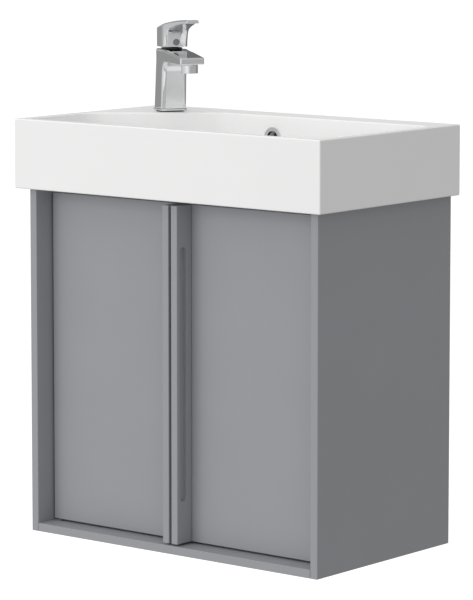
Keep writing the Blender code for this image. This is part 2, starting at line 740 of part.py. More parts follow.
def make_basin():
    basin = board(
        "basin",
        (-BASIN_WIDTH / 2, -BASIN_DEPTH / 2, BASIN_BOTTOM),
        (BASIN_WIDTH / 2, BASIN_DEPTH / 2, BASIN_TOP),
        CERAMIC,
        edge=BASIN_EDGE,
        segments=2,
    )
    hollow = cut_box(
        "basin_hollow",
        (FOOT_WIDTH - BASIN_WIDTH / 2, FOOT_WIDTH - BASIN_DEPTH / 2, BASIN_BOTTOM - CUT_PAST),
        (BASIN_WIDTH / 2 - FOOT_WIDTH, BASIN_DEPTH / 2 - BASIN_BACK, BASIN_TOP - DECK_THICKNESS),
    )
    outside = cutter("bowl_outside", loft(bowl_rings(BOWL_WALL, WASTE_SEAT / 2)))
    combine(hollow, outside)
    boss = rod(
        WASTE_SEAT / 2 + WASTE_BOSS_WALL, BASIN_BOTTOM + WASTE_BOSS_RISE, BASIN_TOP - BOWL_DEPTH, 32
    )
    combine(hollow, cutter("waste_boss", boss, (WASTE_X, WASTE_Y, 0)))
    grow = Vector((CHANNEL_WALL, CHANNEL_WALL, CHANNEL_ROOF))
    (shaft_low, shaft_high), (run_low, run_high) = channel_boxes()
    combine(hollow, cut_box("overflow_shaft_wall", shaft_low - grow, shaft_high + grow))
    floor_level = BASIN_TOP - BOWL_DEPTH + FIT_GAP
    run_top = Vector((run_high.x + CHANNEL_WALL, run_high.y + CHANNEL_WALL, floor_level))
    combine(hollow, cut_box("overflow_run_wall", run_low - grow, run_top))
    combine(basin, hollow)
    combine(basin, cutter("bowl_inside", bowl_inside()))
    for name, (low, high) in zip(("overflow_shaft", "overflow_run"), channel_boxes()):
        combine(basin, cut_box(name, low, high))
    recess = rod(WASTE_SEAT / 2, WASTE_FLOOR - WASTE_FLANGE, WASTE_FLOOR + BOWL_FALL, 32)
    combine(basin, cutter("waste_recess", recess, (WASTE_X, WASTE_Y, 0)))
    bore = rod(WASTE_BORE / 2, BASIN_BOTTOM - CUT_PAST, WASTE_FLOOR, 32)
    combine(basin, cutter("waste_bore", bore, (WASTE_X, WASTE_Y, 0)))
    mouth = tip_over(rod(OVERFLOW_BORE / 2, -2 * BOWL_WALL, BOWL_WALL + CHANNEL_DEPTH, 24), "Y")
    opening = cutter("overflow_mouth", mouth, overflow_place())
    opening.rotation_euler.x = -math.radians(BOWL_DRAFT)
    combine(basin, opening)
    tap_hole = rod(TAP_HOLE / 2, BASIN_TOP - 2 * DECK_THICKNESS, BASIN_TOP + CUT_PAST, 32)
    combine(basin, cutter("tap_hole", tap_hole, (TAP_X, TAP_Y, 0)))


def overflow_place():
    """The middle of the overflow, on the face of the bowl's back wall."""
    lean = math.tan(math.radians(BOWL_DRAFT)) * OVERFLOW_DROP
    return Vector((WASTE_X, BOWL_BACK - lean, BASIN_TOP - OVERFLOW_DROP))


def make_overflow_ring():
    """A pressed ring in the overflow, tilted with the bowl's wall."""
    inner = OVERFLOW_RING_HOLE / 2
    sleeve = OVERFLOW_BORE / 2 - FIT_GAP
    ring = turned(
        [
            (inner, -OVERFLOW_RING_PROUD),
            (OVERFLOW_RING / 2 - 0.0006, -OVERFLOW_RING_PROUD),
            (OVERFLOW_RING / 2, -0.0006),
            (OVERFLOW_RING / 2, 0),
            (sleeve, 0),
            (sleeve, BOWL_WALL / 2),
            (inner, BOWL_WALL / 2),
        ],
        32,
    )
    place = overflow_place() - Vector((0, FIT_GAP, 0))
    obj = solid("overflow_ring", tip_over(ring, "Y"), CHROME, place)
    obj.rotation_euler.x = -math.radians(BOWL_DRAFT)


# ---------------------------------------------------------------- waste and trap


def make_waste():
    seat = WASTE_FLOOR - WASTE_FLANGE + FIT_GAP
    outer = WASTE_TUBE / 2
    inner = outer - WASTE_TUBE_WALL
    low = seat - WASTE_LENGTH
    body = turned(
        [
            (inner, low),
            (outer, low),
            (outer, seat),
            (WASTE_SEAT / 2 - 0.001, seat),
            (WASTE_SEAT / 2 - 0.0015, seat + WASTE_FLANGE),
            (inner + 0.003, seat + WASTE_FLANGE),
            (inner, seat),
        ],
        32,
    )
    waste = solid("waste_body", body, CHROME, (WASTE_X, WASTE_Y, 0))
    bridge_top = seat - WASTE_BRIDGE_DROP
    bar = block((2 * inner + WASTE_TUBE_WALL, WASTE_BRIDGE_WIDTH, WASTE_BRIDGE_HEIGHT))
    place = (WASTE_X, WASTE_Y, bridge_top - WASTE_BRIDGE_HEIGHT / 2)
    combine(waste, cutter("waste_bridge", bar, place), "UNION")
    guide = rod(
        PLUG_STEM / 2 + PIVOT_RUNNING_GAP, bridge_top - CUT_PAST, bridge_top + CUT_PAST, 24
    )
    combine(waste, cutter("waste_guide", guide, (WASTE_X, WASTE_Y, 0)))
    slot = block((WASTE_SLOT_WIDTH, WASTE_TUBE, WASTE_SLOT_HEIGHT))
    place = (WASTE_X, WASTE_Y + WASTE_TUBE / 2, BASIN_BOTTOM + CHANNEL_WALL + CHANNEL_DEPTH / 2)
    combine(waste, cutter("waste_slot", slot, place))

    under = BASIN_BOTTOM + WASTE_BOSS_RISE - FIT_GAP
    ring = tube(outer + FIT_GAP, NUT_DIAMETER / 2 - GASKET_INSET, under - GASKET_THICKNESS, under, 24)
    solid("waste_gasket", ring, RUBBER, (WASTE_X, WASTE_Y, 0))
    nut_top = under - GASKET_THICKNESS - FIT_GAP
    nut = tube(outer + FIT_GAP, NUT_DIAMETER / 2, nut_top - NUT_HEIGHT, nut_top, 24)
    solid("waste_nut", nut, BRASS, (WASTE_X, WASTE_Y, 0))
    make_plug(seat + WASTE_FLANGE, bridge_top)
    return low


def make_plug(flange_top, bridge_top):
    """The push plug, standing open. It drops into the flange when it's pressed."""
    axis = pivot("waste_plug_axis", (WASTE_X, WASTE_Y, 0))
    under = flange_top - PLUG_THICKNESS / 2 + PLUG_TRAVEL
    top = under + PLUG_THICKNESS
    cap = PLUG_DIAMETER / 2
    inner = WASTE_TUBE / 2 - WASTE_TUBE_WALL
    plug = turned(
        [
            (0, bridge_top - PLUG_STEM_BELOW),
            (PLUG_STEM / 2, bridge_top - PLUG_STEM_BELOW),
            (PLUG_STEM / 2, under),
            (inner - 0.001, under),
            (cap, under + 0.001),
            (cap, top - 0.0015),
            (cap - 0.002, top),
            (0, top + PLUG_CROWN),
        ],
        32,
    )
    solid("waste_plug", plug, CHROME, parent=axis)


def make_trap(waste_low):
    """A bottle trap under the waste, with its outlet pipe into the wall."""
    radius = TRAP_TUBE / 2
    inner = radius - TRAP_TUBE_WALL
    outlet = waste_low - TRAP_DROP
    head_top = waste_low - FIT_GAP - TRAP_AIR
    cup = TRAP_CUP / 2
    shoulder = outlet + radius + TRAP_SHOULDER
    foot = outlet - radius - TRAP_SHOULDER
    pipe_radius = OUTLET_PIPE / 2
    head = turned(
        [
            (inner, outlet),
            (cup - 0.003, foot),
            (cup, foot),
            (cup, shoulder - 0.004),
            (cup - 0.006, shoulder),
            (radius, shoulder),
            (radius, head_top),
            (inner, head_top),
        ],
        24,
    )
    body = solid("trap_head", head, CHROME, (WASTE_X, WASTE_Y, 0))
    spigot_end = cup + TRAP_SPIGOT
    spigot = tip_over(rod(pipe_radius, cup * 0.6, spigot_end, 24), "Y")
    combine(body, cutter("trap_spigot", spigot, (WASTE_X, WASTE_Y, outlet)), "UNION")
    passage = tip_over(rod(inner - 0.002, cup * 0.35, spigot_end + CUT_PAST, 24), "Y")
    combine(body, cutter("trap_passage", passage, (WASTE_X, WASTE_Y, outlet)))

    cup_top = foot - FIT_GAP
    cup_low = cup_top - TRAP_CUP_HEIGHT
    shell = turned(
        [
            (0, cup_low),
            (cup - 0.008, cup_low),
            (cup - 0.001, cup_low + 0.008),
            (cup - 0.001, cup_top),
            (cup - TRAP_CUP_WALL, cup_top),
            (cup - TRAP_CUP_WALL, cup_low + 0.010),
            (cup - 0.010, cup_low + TRAP_CUP_WALL),
            (0, cup_low + TRAP_CUP_WALL),
        ],
        24,
    )
    solid("trap_cup", shell, CHROME, (WASTE_X, WASTE_Y, 0))

    collar_top = waste_low + TRAP_COLLAR_RISE
    collar_low = head_top - TRAP_COLLAR_DROP
    collar_radius = WASTE_TUBE / 2 + TRAP_COLLAR_WALL
    collar = turned(
        [
            (radius + FIT_GAP, collar_low),
            (TRAP_NUT / 2 - 0.003, collar_low),
            (collar_radius, head_top),
            (collar_radius, collar_top),
            (WASTE_TUBE / 2 + FIT_GAP, collar_top),
            (WASTE_TUBE / 2 + FIT_GAP, head_top + FIT_GAP),
            (radius + FIT_GAP, head_top - TRAP_AIR),
        ],
        24,
    )
    solid("trap_inlet_nut", collar, CHROME, (WASTE_X, WASTE_Y, 0))

    pipe_start = spigot_end + FIT_GAP
    wall = WALL_Y - WASTE_Y - FIT_GAP
    pipe = tip_over(tube(inner, pipe_radius, pipe_start, wall, 24), "Y")
    solid("outlet_pipe", pipe, CHROME, (WASTE_X, WASTE_Y, outlet))
    nut_low = pipe_start - OUTLET_NUT_BEFORE
    nut_high = pipe_start + OUTLET_NUT_AFTER
    nut = tube(pipe_radius + FIT_GAP, TRAP_NUT / 2, nut_low, nut_high, 24)
    solid("outlet_nut", tip_over(nut, "Y"), CHROME, (WASTE_X, WASTE_Y, outlet))
    rosette = turned(
        [
            (pipe_radius + FIT_GAP, wall - ROSETTE_DEPTH),
            (radius + 0.003, wall - ROSETTE_DEPTH),
            (ROSETTE_DIAMETER / 2, wall - 0.0015),
            (ROSETTE_DIAMETER / 2, wall),
            (pipe_radius + FIT_GAP, wall),
        ],
        24,
    )
    solid("wall_rosette", tip_over(rosette, "Y"), CHROME, (WASTE_X, WASTE_Y, outlet))


# ---------------------------------------------------------------- tap


def make_tap_body(axis):
    """The cast body: a square column with eased corners and a flat spout that falls towards its tip."""
    rise = TAP_TOP - TAP_BODY_BOTTOM
    corner = 1 - math.sqrt(0.5)
    rings = []
    for width, height in (
        (TAP_FOOT_WIDTH, TAP_BODY_BOTTOM),
        (TAP_WIDTH, TAP_TOP - TAP_TOP_EDGE),
        (TAP_WIDTH - 2 * corner * TAP_TOP_EDGE, TAP_TOP - corner * TAP_TOP_EDGE),
        (TAP_WIDTH - 2 * TAP_TOP_EDGE, TAP_TOP),
    ):
        shift = TAP_LEAN * (height - TAP_BODY_BOTTOM) / rise
        rings.append([(x + shift, y, height) for x, y in rectangle(width, width, TAP_CORNER, 4)])
    body = solid("tap_body", loft(rings), CHROME, parent=axis)
    under = SPOUT_TIP_TOP - SPOUT_TIP_HEIGHT
    front = TAP_WIDTH / 2 + TAP_LEAN * (under - SPOUT_FILLET) / rise - FIT_GAP
    profile = [(TAP_LEAN, under - SPOUT_FILLET)]
    for angle in range(0, 91, 15):
        turn = math.radians(angle)
        profile.append(
            (front + SPOUT_FILLET * (1 - math.cos(turn)), under - SPOUT_FILLET * (1 - math.sin(turn)))
        )
    profile += [
        (SPOUT_REACH - SPOUT_TIP_EDGE, under),
        (SPOUT_REACH, under + SPOUT_TIP_EDGE),
        (SPOUT_REACH, SPOUT_TIP_TOP - SPOUT_TIP_EDGE),
        (SPOUT_REACH - SPOUT_TIP_EDGE, SPOUT_TIP_TOP),
        (TAP_LEAN + TAP_WIDTH / 2 - TAP_TOP_EDGE, TAP_TOP - FIT_GAP),
        (TAP_LEAN, TAP_TOP - FIT_GAP),
    ]
    spout = prism(profile, -SPOUT_WIDTH / 2, SPOUT_WIDTH / 2, "Y")
    long_edges = [
        edge
        for edge in spout.edges
        if min(v.co.z for v in edge.verts) > under + SPOUT_TIP_EDGE
        and abs(edge.verts[0].co.y - edge.verts[1].co.y) < 1e-6
    ]
    bmesh.ops.bevel(
        spout, geom=long_edges, offset=SPOUT_SIDE_EDGE, segments=2, profile=0.5, affect="EDGES"
    )
    combine(body, cutter("tap_spout", spout, parent=axis), "UNION")
    seat = rod(
        COLLAR_DIAMETER / 2 + FIT_GAP, TAP_TOP - COLLAR_DEPTH - FIT_GAP, TAP_TOP + CUT_PAST, 32
    )
    combine(body, cutter("collar_seat", seat, (TAP_LEAN, 0, 0), axis))
    hole = rod(STUD_DIAMETER / 2 + FIT_GAP, 0.0, TAP_BODY_BOTTOM + STUD_IN_BODY + FIT_GAP, 16)
    combine(body, cutter("stud_hole", hole, parent=axis))


def make_tap_fixing(axis):
    """What holds the tap to the deck: base plate and gasket above it, clamp plate, nut and stud below."""
    outline = rectangle(BASE_PLATE_WIDTH, BASE_PLATE_WIDTH, TAP_CORNER + 0.001, 4)
    low = TAP_GASKET + 2 * FIT_GAP
    plate = solid(
        "tap_base_plate", prism(outline, low, low + BASE_PLATE_HEIGHT), CHROME, parent=axis
    )
    hole = rod(STUD_DIAMETER / 2 + FIT_GAP, -CUT_PAST, 2 * CUT_PAST, 16)
    combine(plate, cutter("base_plate_hole", hole, parent=axis))
    inner = TAP_HOLE / 2 + 0.001
    gasket = tube(inner, BASE_PLATE_WIDTH / 2 - 0.001, FIT_GAP, FIT_GAP + TAP_GASKET, 32)
    solid("tap_gasket", gasket, RUBBER, parent=axis)
    stud_top = TAP_BODY_BOTTOM + STUD_IN_BODY
    stud = rod(STUD_DIAMETER / 2, stud_top - STUD_LENGTH, stud_top, 16, 0.0006)
    solid("tap_stud", stud, STEEL, parent=axis)
    under = -DECK_THICKNESS - FIT_GAP
    clamp = tube(
        STUD_DIAMETER / 2 + FIT_GAP, TAP_HOLE / 2 + CLAMP_PLATE_OVERLAP, under - CLAMP_PLATE_THICKNESS, under, 24
    )
    solid("tap_clamp_plate", clamp, STEEL, parent=axis)
    nut_top = under - CLAMP_PLATE_THICKNESS - FIT_GAP
    hexagon = turned(
        [
            (STUD_DIAMETER / 2 + FIT_GAP, nut_top - CLAMP_NUT_HEIGHT),
            (CLAMP_NUT_WIDTH / math.sqrt(3), nut_top - CLAMP_NUT_HEIGHT),
            (CLAMP_NUT_WIDTH / math.sqrt(3), nut_top),
            (STUD_DIAMETER / 2 + FIT_GAP, nut_top),
        ],
        12,
    )
    solid("tap_clamp_nut", hexagon, BRASS, parent=axis)


def make_aerator(axis):
    top = SPOUT_TIP_TOP - SPOUT_TIP_HEIGHT - FIT_GAP
    radius = AERATOR_DIAMETER / 2
    low = top - AERATOR_HEIGHT
    shape = turned(
        [
            (0, low + AERATOR_SEAT),
            (radius - 0.0025, low + AERATOR_SEAT),
            (radius - 0.0025, low),
            (radius - 0.0005, low),
            (radius, low + 0.0005),
            (radius, top),
            (0, top),
        ],
        32,
    )
    solid("aerator", shape, CHROME, (AERATOR_REACH, 0, 0), axis)


def lever_section(along, width, low, high, radius):
    """One cross-section of the lever, at a distance along it."""
    middle = (low + high) / 2
    outline = rectangle(width, high - low, min(radius, (high - low) * 0.45, width * 0.45), 3)
    return [(along, across, middle + up) for across, up in outline]


def lever_width(along):
    """The block's width at a distance along it, with its corners rounded in plan."""
    straight = LEVER_WIDTH / 2 - LEVER_CORNER
    over = max(abs(along) - straight, 0.0)
    return 2 * (straight + math.sqrt(max(LEVER_CORNER**2 - over**2, 0.0)))


def lever_top(along):
    """The height of the lever's top: a parabola through its rear, the block's front and the tip."""
    half = LEVER_WIDTH / 2
    places = (-half, half, LEVER_REACH)
    heights = (LEVER_REAR_HEIGHT, LEVER_FRONT_HEIGHT, LEVER_TIP_HEIGHT)
    total = LEVER_BOTTOM
    for i, height in enumerate(heights):
        others = [place for j, place in enumerate(places) if j != i]
        weight = 1.0
        for other in others:
            weight *= (along - other) / (places[i] - other)
        total += height * weight
    return total


def lever_bottom(share):
    """The height of the tongue's underside, at a share of the way from the block's front to the tip."""
    tip = LEVER_TIP_TOP - LEVER_TIP_THICKNESS
    wall = tip - LEVER_TONGUE_RISE - LEVER_BOTTOM - LEVER_FOOT_EDGE
    return tip - LEVER_TONGUE_RISE * (1 - share) ** 1.6 - wall * (1 - share) ** 20


def lever_sections():
    half = LEVER_WIDTH / 2
    sections = []
    for share in (-1.0, -0.93, -0.75, -0.5, 0.0, 0.5):
        along = half * share
        low = LEVER_BOTTOM + (LEVER_FOOT_EDGE if share == -1.0 else 0.0)
        sections.append(
            lever_section(along, lever_width(along * 0.995), low, lever_top(along), LEVER_EDGE)
        )
    for share in (0.0, 0.02, 0.05, 0.10, 0.18, 0.35, 0.65, 1.0):
        along = half + (LEVER_REACH - half) * share
        width = LEVER_TIP_WIDTH + (LEVER_FRONT_WIDTH - LEVER_TIP_WIDTH) * (1 - share)
        sections.append(
            lever_section(along, width, lever_bottom(share), lever_top(along), LEVER_EDGE)
        )
    return sections


def make_lever(axis):
    """The handle: a hollow block over the cartridge that sweeps up and out into a thin tongue."""
    lift = pivot("tap_lift_axis", (-LIFT_AXIS_BACK, 0, LIFT_AXIS_HEIGHT), axis)
    shift = -lift.location
    shape = loft(lever_sections())
    lever = solid("tap_lever", shape, CHROME, shift, lift)
    cavity = block((LEVER_CAVITY_LENGTH, LEVER_CAVITY_WIDTH, 2 * LEVER_CAVITY_HEIGHT))
    place = shift + Vector((0.001, 0, LEVER_BOTTOM))
    combine(lever, cutter("lever_cavity", cavity, place, lift))
    plug = rod(INDICATOR_DIAMETER / 2, 0, INDICATOR_THICKNESS, 20, 0.0003)
    tip_over(plug, "X")
    front = LEVER_WIDTH / 2 + INDICATOR_PROUD
    place = shift + Vector((front, 0, LEVER_BOTTOM + INDICATOR_UP))
    solid("tap_indicator", plug, PLASTIC, place, lift)
    seat = tip_over(rod(INDICATOR_DIAMETER / 2 + FIT_GAP, -FIT_GAP, 2 * CUT_PAST, 20), "X")
    combine(lever, cutter("indicator_seat", seat, place, lift))


def make_cartridge(axis):
    """The fixed collar in the body's mouth, and the core that turns in it with its upright stem."""
    middle = (TAP_LEAN, 0, 0)
    low = TAP_TOP - COLLAR_DEPTH
    top = TAP_TOP + COLLAR_PROUD
    inner = CARTRIDGE_DIAMETER / 2 + FIT_GAP
    collar = tube(inner, COLLAR_DIAMETER / 2, low, top, 32)
    solid("cartridge_collar", collar, BLACK_PLASTIC, middle, axis)
    turn = pivot("tap_turn_axis", middle, axis)
    radius = CARTRIDGE_DIAMETER / 2
    core = turned(
        [
            (0, low + FIT_GAP),
            (radius, low + FIT_GAP),
            (radius, top - 0.001),
            (STEM_DIAMETER / 2, top - 0.001),
            (STEM_DIAMETER / 2, TAP_TOP + STEM_RISE),
            (0, TAP_TOP + STEM_RISE),
        ],
        32,
    )
    solid("cartridge_core", core, BLACK_PLASTIC, parent=turn)
    make_lever(turn)


def make_tap():
    axis = pivot("tap_axis", (TAP_X, TAP_Y, BASIN_TOP), turn=math.radians(TAP_TURN))
    make_tap_body(axis)
    make_tap_fixing(axis)
    make_aerator(axis)
    make_cartridge(axis)


# ---------------------------------------------------------------- the vanity

clear_scene()
LACQUER = finish("grey_lacquer", (0.30, 0.305, 0.315), 0.55)
CERAMIC = finish("white_ceramic", (0.88, 0.88, 0.88), 0.12)
CHROME = finish("chrome", (0.80, 0.80, 0.80), 0.08, 1.0)
STEEL = finish("zinc_plated_steel", (0.60, 0.61, 0.62), 0.35, 1.0)
BRASS = finish("brass", (0.70, 0.52, 0.25), 0.35, 1.0)
PLASTIC = finish("grey_plastic", (0.50, 0.50, 0.50), 0.50)
BLACK_PLASTIC = finish("black_plastic", (0.02, 0.02, 0.02), 0.45)
RUBBER = finish("rubber", (0.03, 0.03, 0.03), 0.80)
CUTTER = finish("cutter", (1.0, 0.2, 0.2), 0.50)

make_carcass()
make_shelf()
make_doors()
for hanger_side, hanger_sign in SIDES:
    make_hanger(hanger_side, hanger_sign)
make_basin()
make_overflow_ring()
waste_end = make_waste()
make_trap(waste_end)
make_tap()
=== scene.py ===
import math

import bmesh
import bpy
from mathutils import Matrix, Vector


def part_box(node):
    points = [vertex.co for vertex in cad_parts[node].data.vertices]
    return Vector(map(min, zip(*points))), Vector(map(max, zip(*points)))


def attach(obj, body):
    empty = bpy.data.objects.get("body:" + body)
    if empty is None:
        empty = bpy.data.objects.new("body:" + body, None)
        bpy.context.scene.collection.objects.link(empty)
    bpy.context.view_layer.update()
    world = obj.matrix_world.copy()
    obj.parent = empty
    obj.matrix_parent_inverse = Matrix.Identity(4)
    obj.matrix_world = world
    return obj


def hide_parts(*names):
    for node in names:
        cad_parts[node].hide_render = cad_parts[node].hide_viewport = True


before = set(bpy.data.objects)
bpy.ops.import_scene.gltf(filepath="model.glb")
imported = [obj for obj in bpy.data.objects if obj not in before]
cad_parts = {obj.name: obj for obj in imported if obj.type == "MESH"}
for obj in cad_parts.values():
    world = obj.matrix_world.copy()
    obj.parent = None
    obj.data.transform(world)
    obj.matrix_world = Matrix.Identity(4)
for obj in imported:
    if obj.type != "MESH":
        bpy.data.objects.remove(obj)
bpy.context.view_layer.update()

scene = bpy.context.scene


# ============ studio
# The vanity hangs over a pale floor, seen from the front right at worktop height. A large soft
# lamp stands to the left of the front, a smaller one hangs overhead, and the dome of light round
# them is dimmer behind the vanity.

camera_data = bpy.data.cameras.new("camera")
camera_data.lens = 200.425
camera_data.sensor_width = 36
camera_data.shift_y = -0.15
camera_data.clip_end = 400
camera = bpy.data.objects.new("camera", camera_data)
camera.location = (3.22818, -3.97546, 1.08267)
camera.rotation_euler = (math.radians(90 - 6.3395), 0, math.radians(39.0528))
scene.collection.objects.link(camera)
scene.camera = camera
scene.view_settings.view_transform = "Standard"

FLOOR_BELOW = 0.45
FLOOR_HALF = 90.0

floor_mesh = bpy.data.meshes.new("floor")
floor_mesh.from_pydata(
    [(x * FLOOR_HALF, y * FLOOR_HALF, -FLOOR_BELOW) for x, y in ((-1, -1), (1, -1), (1, 1), (-1, 1))],
    [],
    [(0, 1, 2, 3)],
)
floor = bpy.data.objects.new("floor", floor_mesh)
scene.collection.objects.link(floor)
pale_floor = bpy.data.materials.new("pale_floor")
pale_floor.use_nodes = True
floor_shader = pale_floor.node_tree.nodes["Principled BSDF"]
for socket, value in (
    ("Base Color", (0.86, 0.86, 0.86, 1)),
    ("Roughness", 0.9),
    ("Specular IOR Level", 0.0),
    ("Emission Color", (1, 1, 1, 1)),
    ("Emission Strength", 0.50),
):
    floor_shader.inputs[socket].default_value = value
floor_mesh.materials.append(pale_floor)
floor.visible_diffuse = False
floor.visible_glossy = False


def node(tree, kind, inputs, **settings):
    """Adds a node. Each input is set to a value, or linked to another node's output."""
    added = tree.nodes.new(kind)
    for setting, value in settings.items():
        setattr(added, setting, value)
    for socket, value in inputs.items():
        if isinstance(value, bpy.types.NodeSocket):
            tree.links.new(value, added.inputs[socket])
        else:
            added.inputs[socket].default_value = value
    return added


def blend(tree, share, one, other, kind="MIX"):
    """Mixes two colours, which are nodes' outputs or the colours themselves."""
    return node(
        tree, "ShaderNodeMix", {0: share, 6: one, 7: other}, data_type="RGBA", blend_type=kind
    ).outputs[2]


def ramp(tree, source, stops):
    """A grey scale read off at a node's output, from (place, brightness) stops."""
    scale = node(tree, "ShaderNodeValToRGB", {"Fac": source})
    while len(scale.color_ramp.elements) < len(stops):
        scale.color_ramp.elements.new(0.5)
    for element, (place, grey) in zip(scale.color_ramp.elements, stops):
        element.position = place
        element.color = (grey, grey, grey, 1)
    return scale.outputs["Color"]


def light_dome():
    """Soft light all round for matt surfaces, and for mirrors a room that is dark behind the vanity."""
    world = bpy.data.worlds.new("light_dome")
    world.use_nodes = True
    tree = world.node_tree
    tree.nodes.clear()
    place = node(tree, "ShaderNodeTexCoord", {})
    split = node(tree, "ShaderNodeSeparateXYZ", {"Vector": place.outputs["Generated"]})
    right, back, up = [
        node(
            tree, "ShaderNodeMath", {0: split.outputs[axis], 1: 0.5, 2: 0.5}, operation="MULTIPLY_ADD"
        ).outputs[0]
        for axis in ("X", "Y", "Z")
    ]

    def crossed(one, one_stops, other, other_stops):
        return blend(tree, 1.0, ramp(tree, one, one_stops), ramp(tree, other, other_stops), "MULTIPLY")

    soft = crossed(
        up, ((0.0, 0.62), (0.45, 0.64), (0.6, 0.76), (1.0, 1.0)),
        back, ((0.0, 1.0), (0.5, 0.80), (0.8, 0.42), (1.0, 0.34)),
    )
    room = crossed(
        back,
        ((0.0, 1.0), (0.15, 0.92), (0.415, 0.68), (0.5, 0.60), (0.56, 0.34), (0.76, 0.34), (0.86, 0.20)),
        right, ((0.0, 1.0), (0.15, 0.80), (0.35, 0.92), (0.5, 1.0)),
    )
    horizon = crossed(
        up, ((0.490, 0.0), (0.505, 1.0), (0.575, 1.0), (0.600, 0.0)), back, ((0.5, 0.0), (0.62, 1.0)),
    )
    beside = crossed(
        up, ((0.395, 0.0), (0.43, 1.0), (0.47, 1.0), (0.49, 0.0)), right, ((0.6, 0.0), (0.9, 1.0)),
    )
    for where, grey in ((horizon, 0.66), (beside, 0.46)):
        room = blend(tree, where, room, (grey, grey, grey, 1))
    path = node(tree, "ShaderNodeLightPath", {})
    lit = blend(tree, path.outputs["Is Glossy Ray"], soft, room)
    lit = blend(tree, path.outputs["Is Camera Ray"], lit, (1, 1, 1, 1))
    background = node(tree, "ShaderNodeBackground", {"Color": lit})
    node(tree, "ShaderNodeOutputWorld", {"Surface": background.outputs[0]})
    scene.world = world


def soft_lamp(name, place, aim, width, height, watts):
    lamp_data = bpy.data.lights.new(name, "AREA")
    lamp_data.shape = "RECTANGLE"
    lamp_data.size = width
    lamp_data.size_y = height
    lamp_data.energy = watts
    lamp = bpy.data.objects.new(name, lamp_data)
    lamp.location = place
    lamp.rotation_euler = (Vector(aim) - Vector(place)).to_track_quat("-Z", "Y").to_euler()
    lamp.visible_glossy = False
    scene.collection.objects.link(lamp)


light_dome()
soft_lamp("front_lamp", (-1.1, -3.6, 1.3), (0, 0, 0.35), 2.2, 2.2, 44)
soft_lamp("top_lamp", (0.1, 0.05, 3.3), (0.1, 0.05, 0.0), 1.6, 1.6, 22)


# ============ carcass boards
# Side panels, floor, rails and shelf are 13 mm fibreboard, lacquered a cool satin grey and dowelled
# together. The lacquer's colour is lighter along the arrises, and it has the fine skin of a sprayed coat.


def finish(
    name, colour, roughness, spread=0.02, patches=14.0, grain=900.0, depth=0.00002, metallic=0.0,
    smudge=0.04, smudges=30.0, stretch=(1, 1, 1), arris=None, arris_width=0.0008, coat=0.0, specular=0.5,
):
    """A material whose colour, gloss and skin vary from place to place, its colour lighter along its
    arrises.
    """
    material = bpy.data.materials.new(name)
    material.use_nodes = True
    tree = material.node_tree
    shader = tree.nodes["Principled BSDF"]
    place = node(tree, "ShaderNodeTexCoord", {})
    along = node(tree, "ShaderNodeMapping", {"Vector": place.outputs["Object"], "Scale": stretch})

    def spread_out(value, low, high, low_in, high_in):
        reach = {"Value": value, "From Min": low_in, "From Max": high_in, "To Min": low, "To Max": high}
        return node(tree, "ShaderNodeMapRange", reach).outputs["Result"]

    def cloud(scale, detail, low, high):
        noise = node(
            tree, "ShaderNodeTexNoise", {"Vector": along.outputs[0], "Scale": scale, "Detail": detail}
        )
        return spread_out(noise.outputs["Fac"], low, high, 0.3, 0.7)

    dull = (*[part * (1 - spread) for part in colour], 1)
    bright = (*[min(part * (1 + spread), 1.0) for part in colour], 1)
    tint = blend(tree, cloud(patches, 3.0, 0.0, 1.0), dull, bright)
    gloss = cloud(smudges, 4.0, max(roughness - smudge, 0.02), roughness + smudge)
    if arris:
        rounded = node(tree, "ShaderNodeBevel", {"Radius": arris_width}, samples=4)
        true = node(tree, "ShaderNodeNewGeometry", {})
        both = node(
            tree, "ShaderNodeVectorMath", {0: rounded.outputs[0], 1: true.outputs["Normal"]},
            operation="DOT_PRODUCT",
        )
        edge = spread_out(both.outputs["Value"], 0.0, 1.0, 0.995, 0.90)
        broken = node(
            tree, "ShaderNodeMath", {0: edge, 1: cloud(160.0, 2.0, 0.15, 0.8)}, operation="MULTIPLY"
        )
        tint = blend(tree, broken.outputs[0], tint, (*arris, 1))
    bump = node(
        tree, "ShaderNodeBump",
        {"Strength": 0.5, "Distance": depth, "Height": cloud(grain, 2.0, 0.0, 1.0)},
    )
    for socket, value in (
        ("Metallic", metallic),
        ("Coat Weight", coat),
        ("Coat Roughness", 0.06),
        ("Specular IOR Level", specular),
    ):
        shader.inputs[socket].default_value = value
    for socket, value in (("Base Color", tint), ("Roughness", gloss), ("Normal", bump.outputs[0])):
        tree.links.new(value, shader.inputs[socket])
    return material


BOARD_EASE = 0.0002
WELD = 0.000002
ARRIS_ANGLE = math.radians(28)


def dress(name, material, ease=0.0003):
    """Gives a CAD piece its finish, and eases its arrises by a modifier."""
    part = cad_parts[name]
    for coat in part.material_slots:
        coat.link = "OBJECT"
        coat.material = material
    weld = part.modifiers.new("weld", "WELD")
    weld.merge_threshold = WELD
    flatten = part.modifiers.new("flatten", "DECIMATE")
    flatten.decimate_type = "DISSOLVE"
    flatten.angle_limit = math.radians(1)
    if ease:
        round_over = part.modifiers.new("ease", "BEVEL")
        round_over.width = ease
        round_over.segments = 2
        round_over.limit_method = "ANGLE"
        round_over.angle_limit = ARRIS_ANGLE
        round_over.use_clamp_overlap = True
    lay_flat(part)


def lay_flat(part, crease=42):
    """Smooth shading that keeps the flat faces flat."""
    mesh = part.data
    if part.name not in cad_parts:
        mesh.shade_smooth()
        mesh.set_sharp_from_angle(angle=math.radians(crease))
    weighted = part.modifiers.new("flat_faces", "WEIGHTED_NORMAL")
    weighted.keep_sharp = True
    weighted.weight = 60


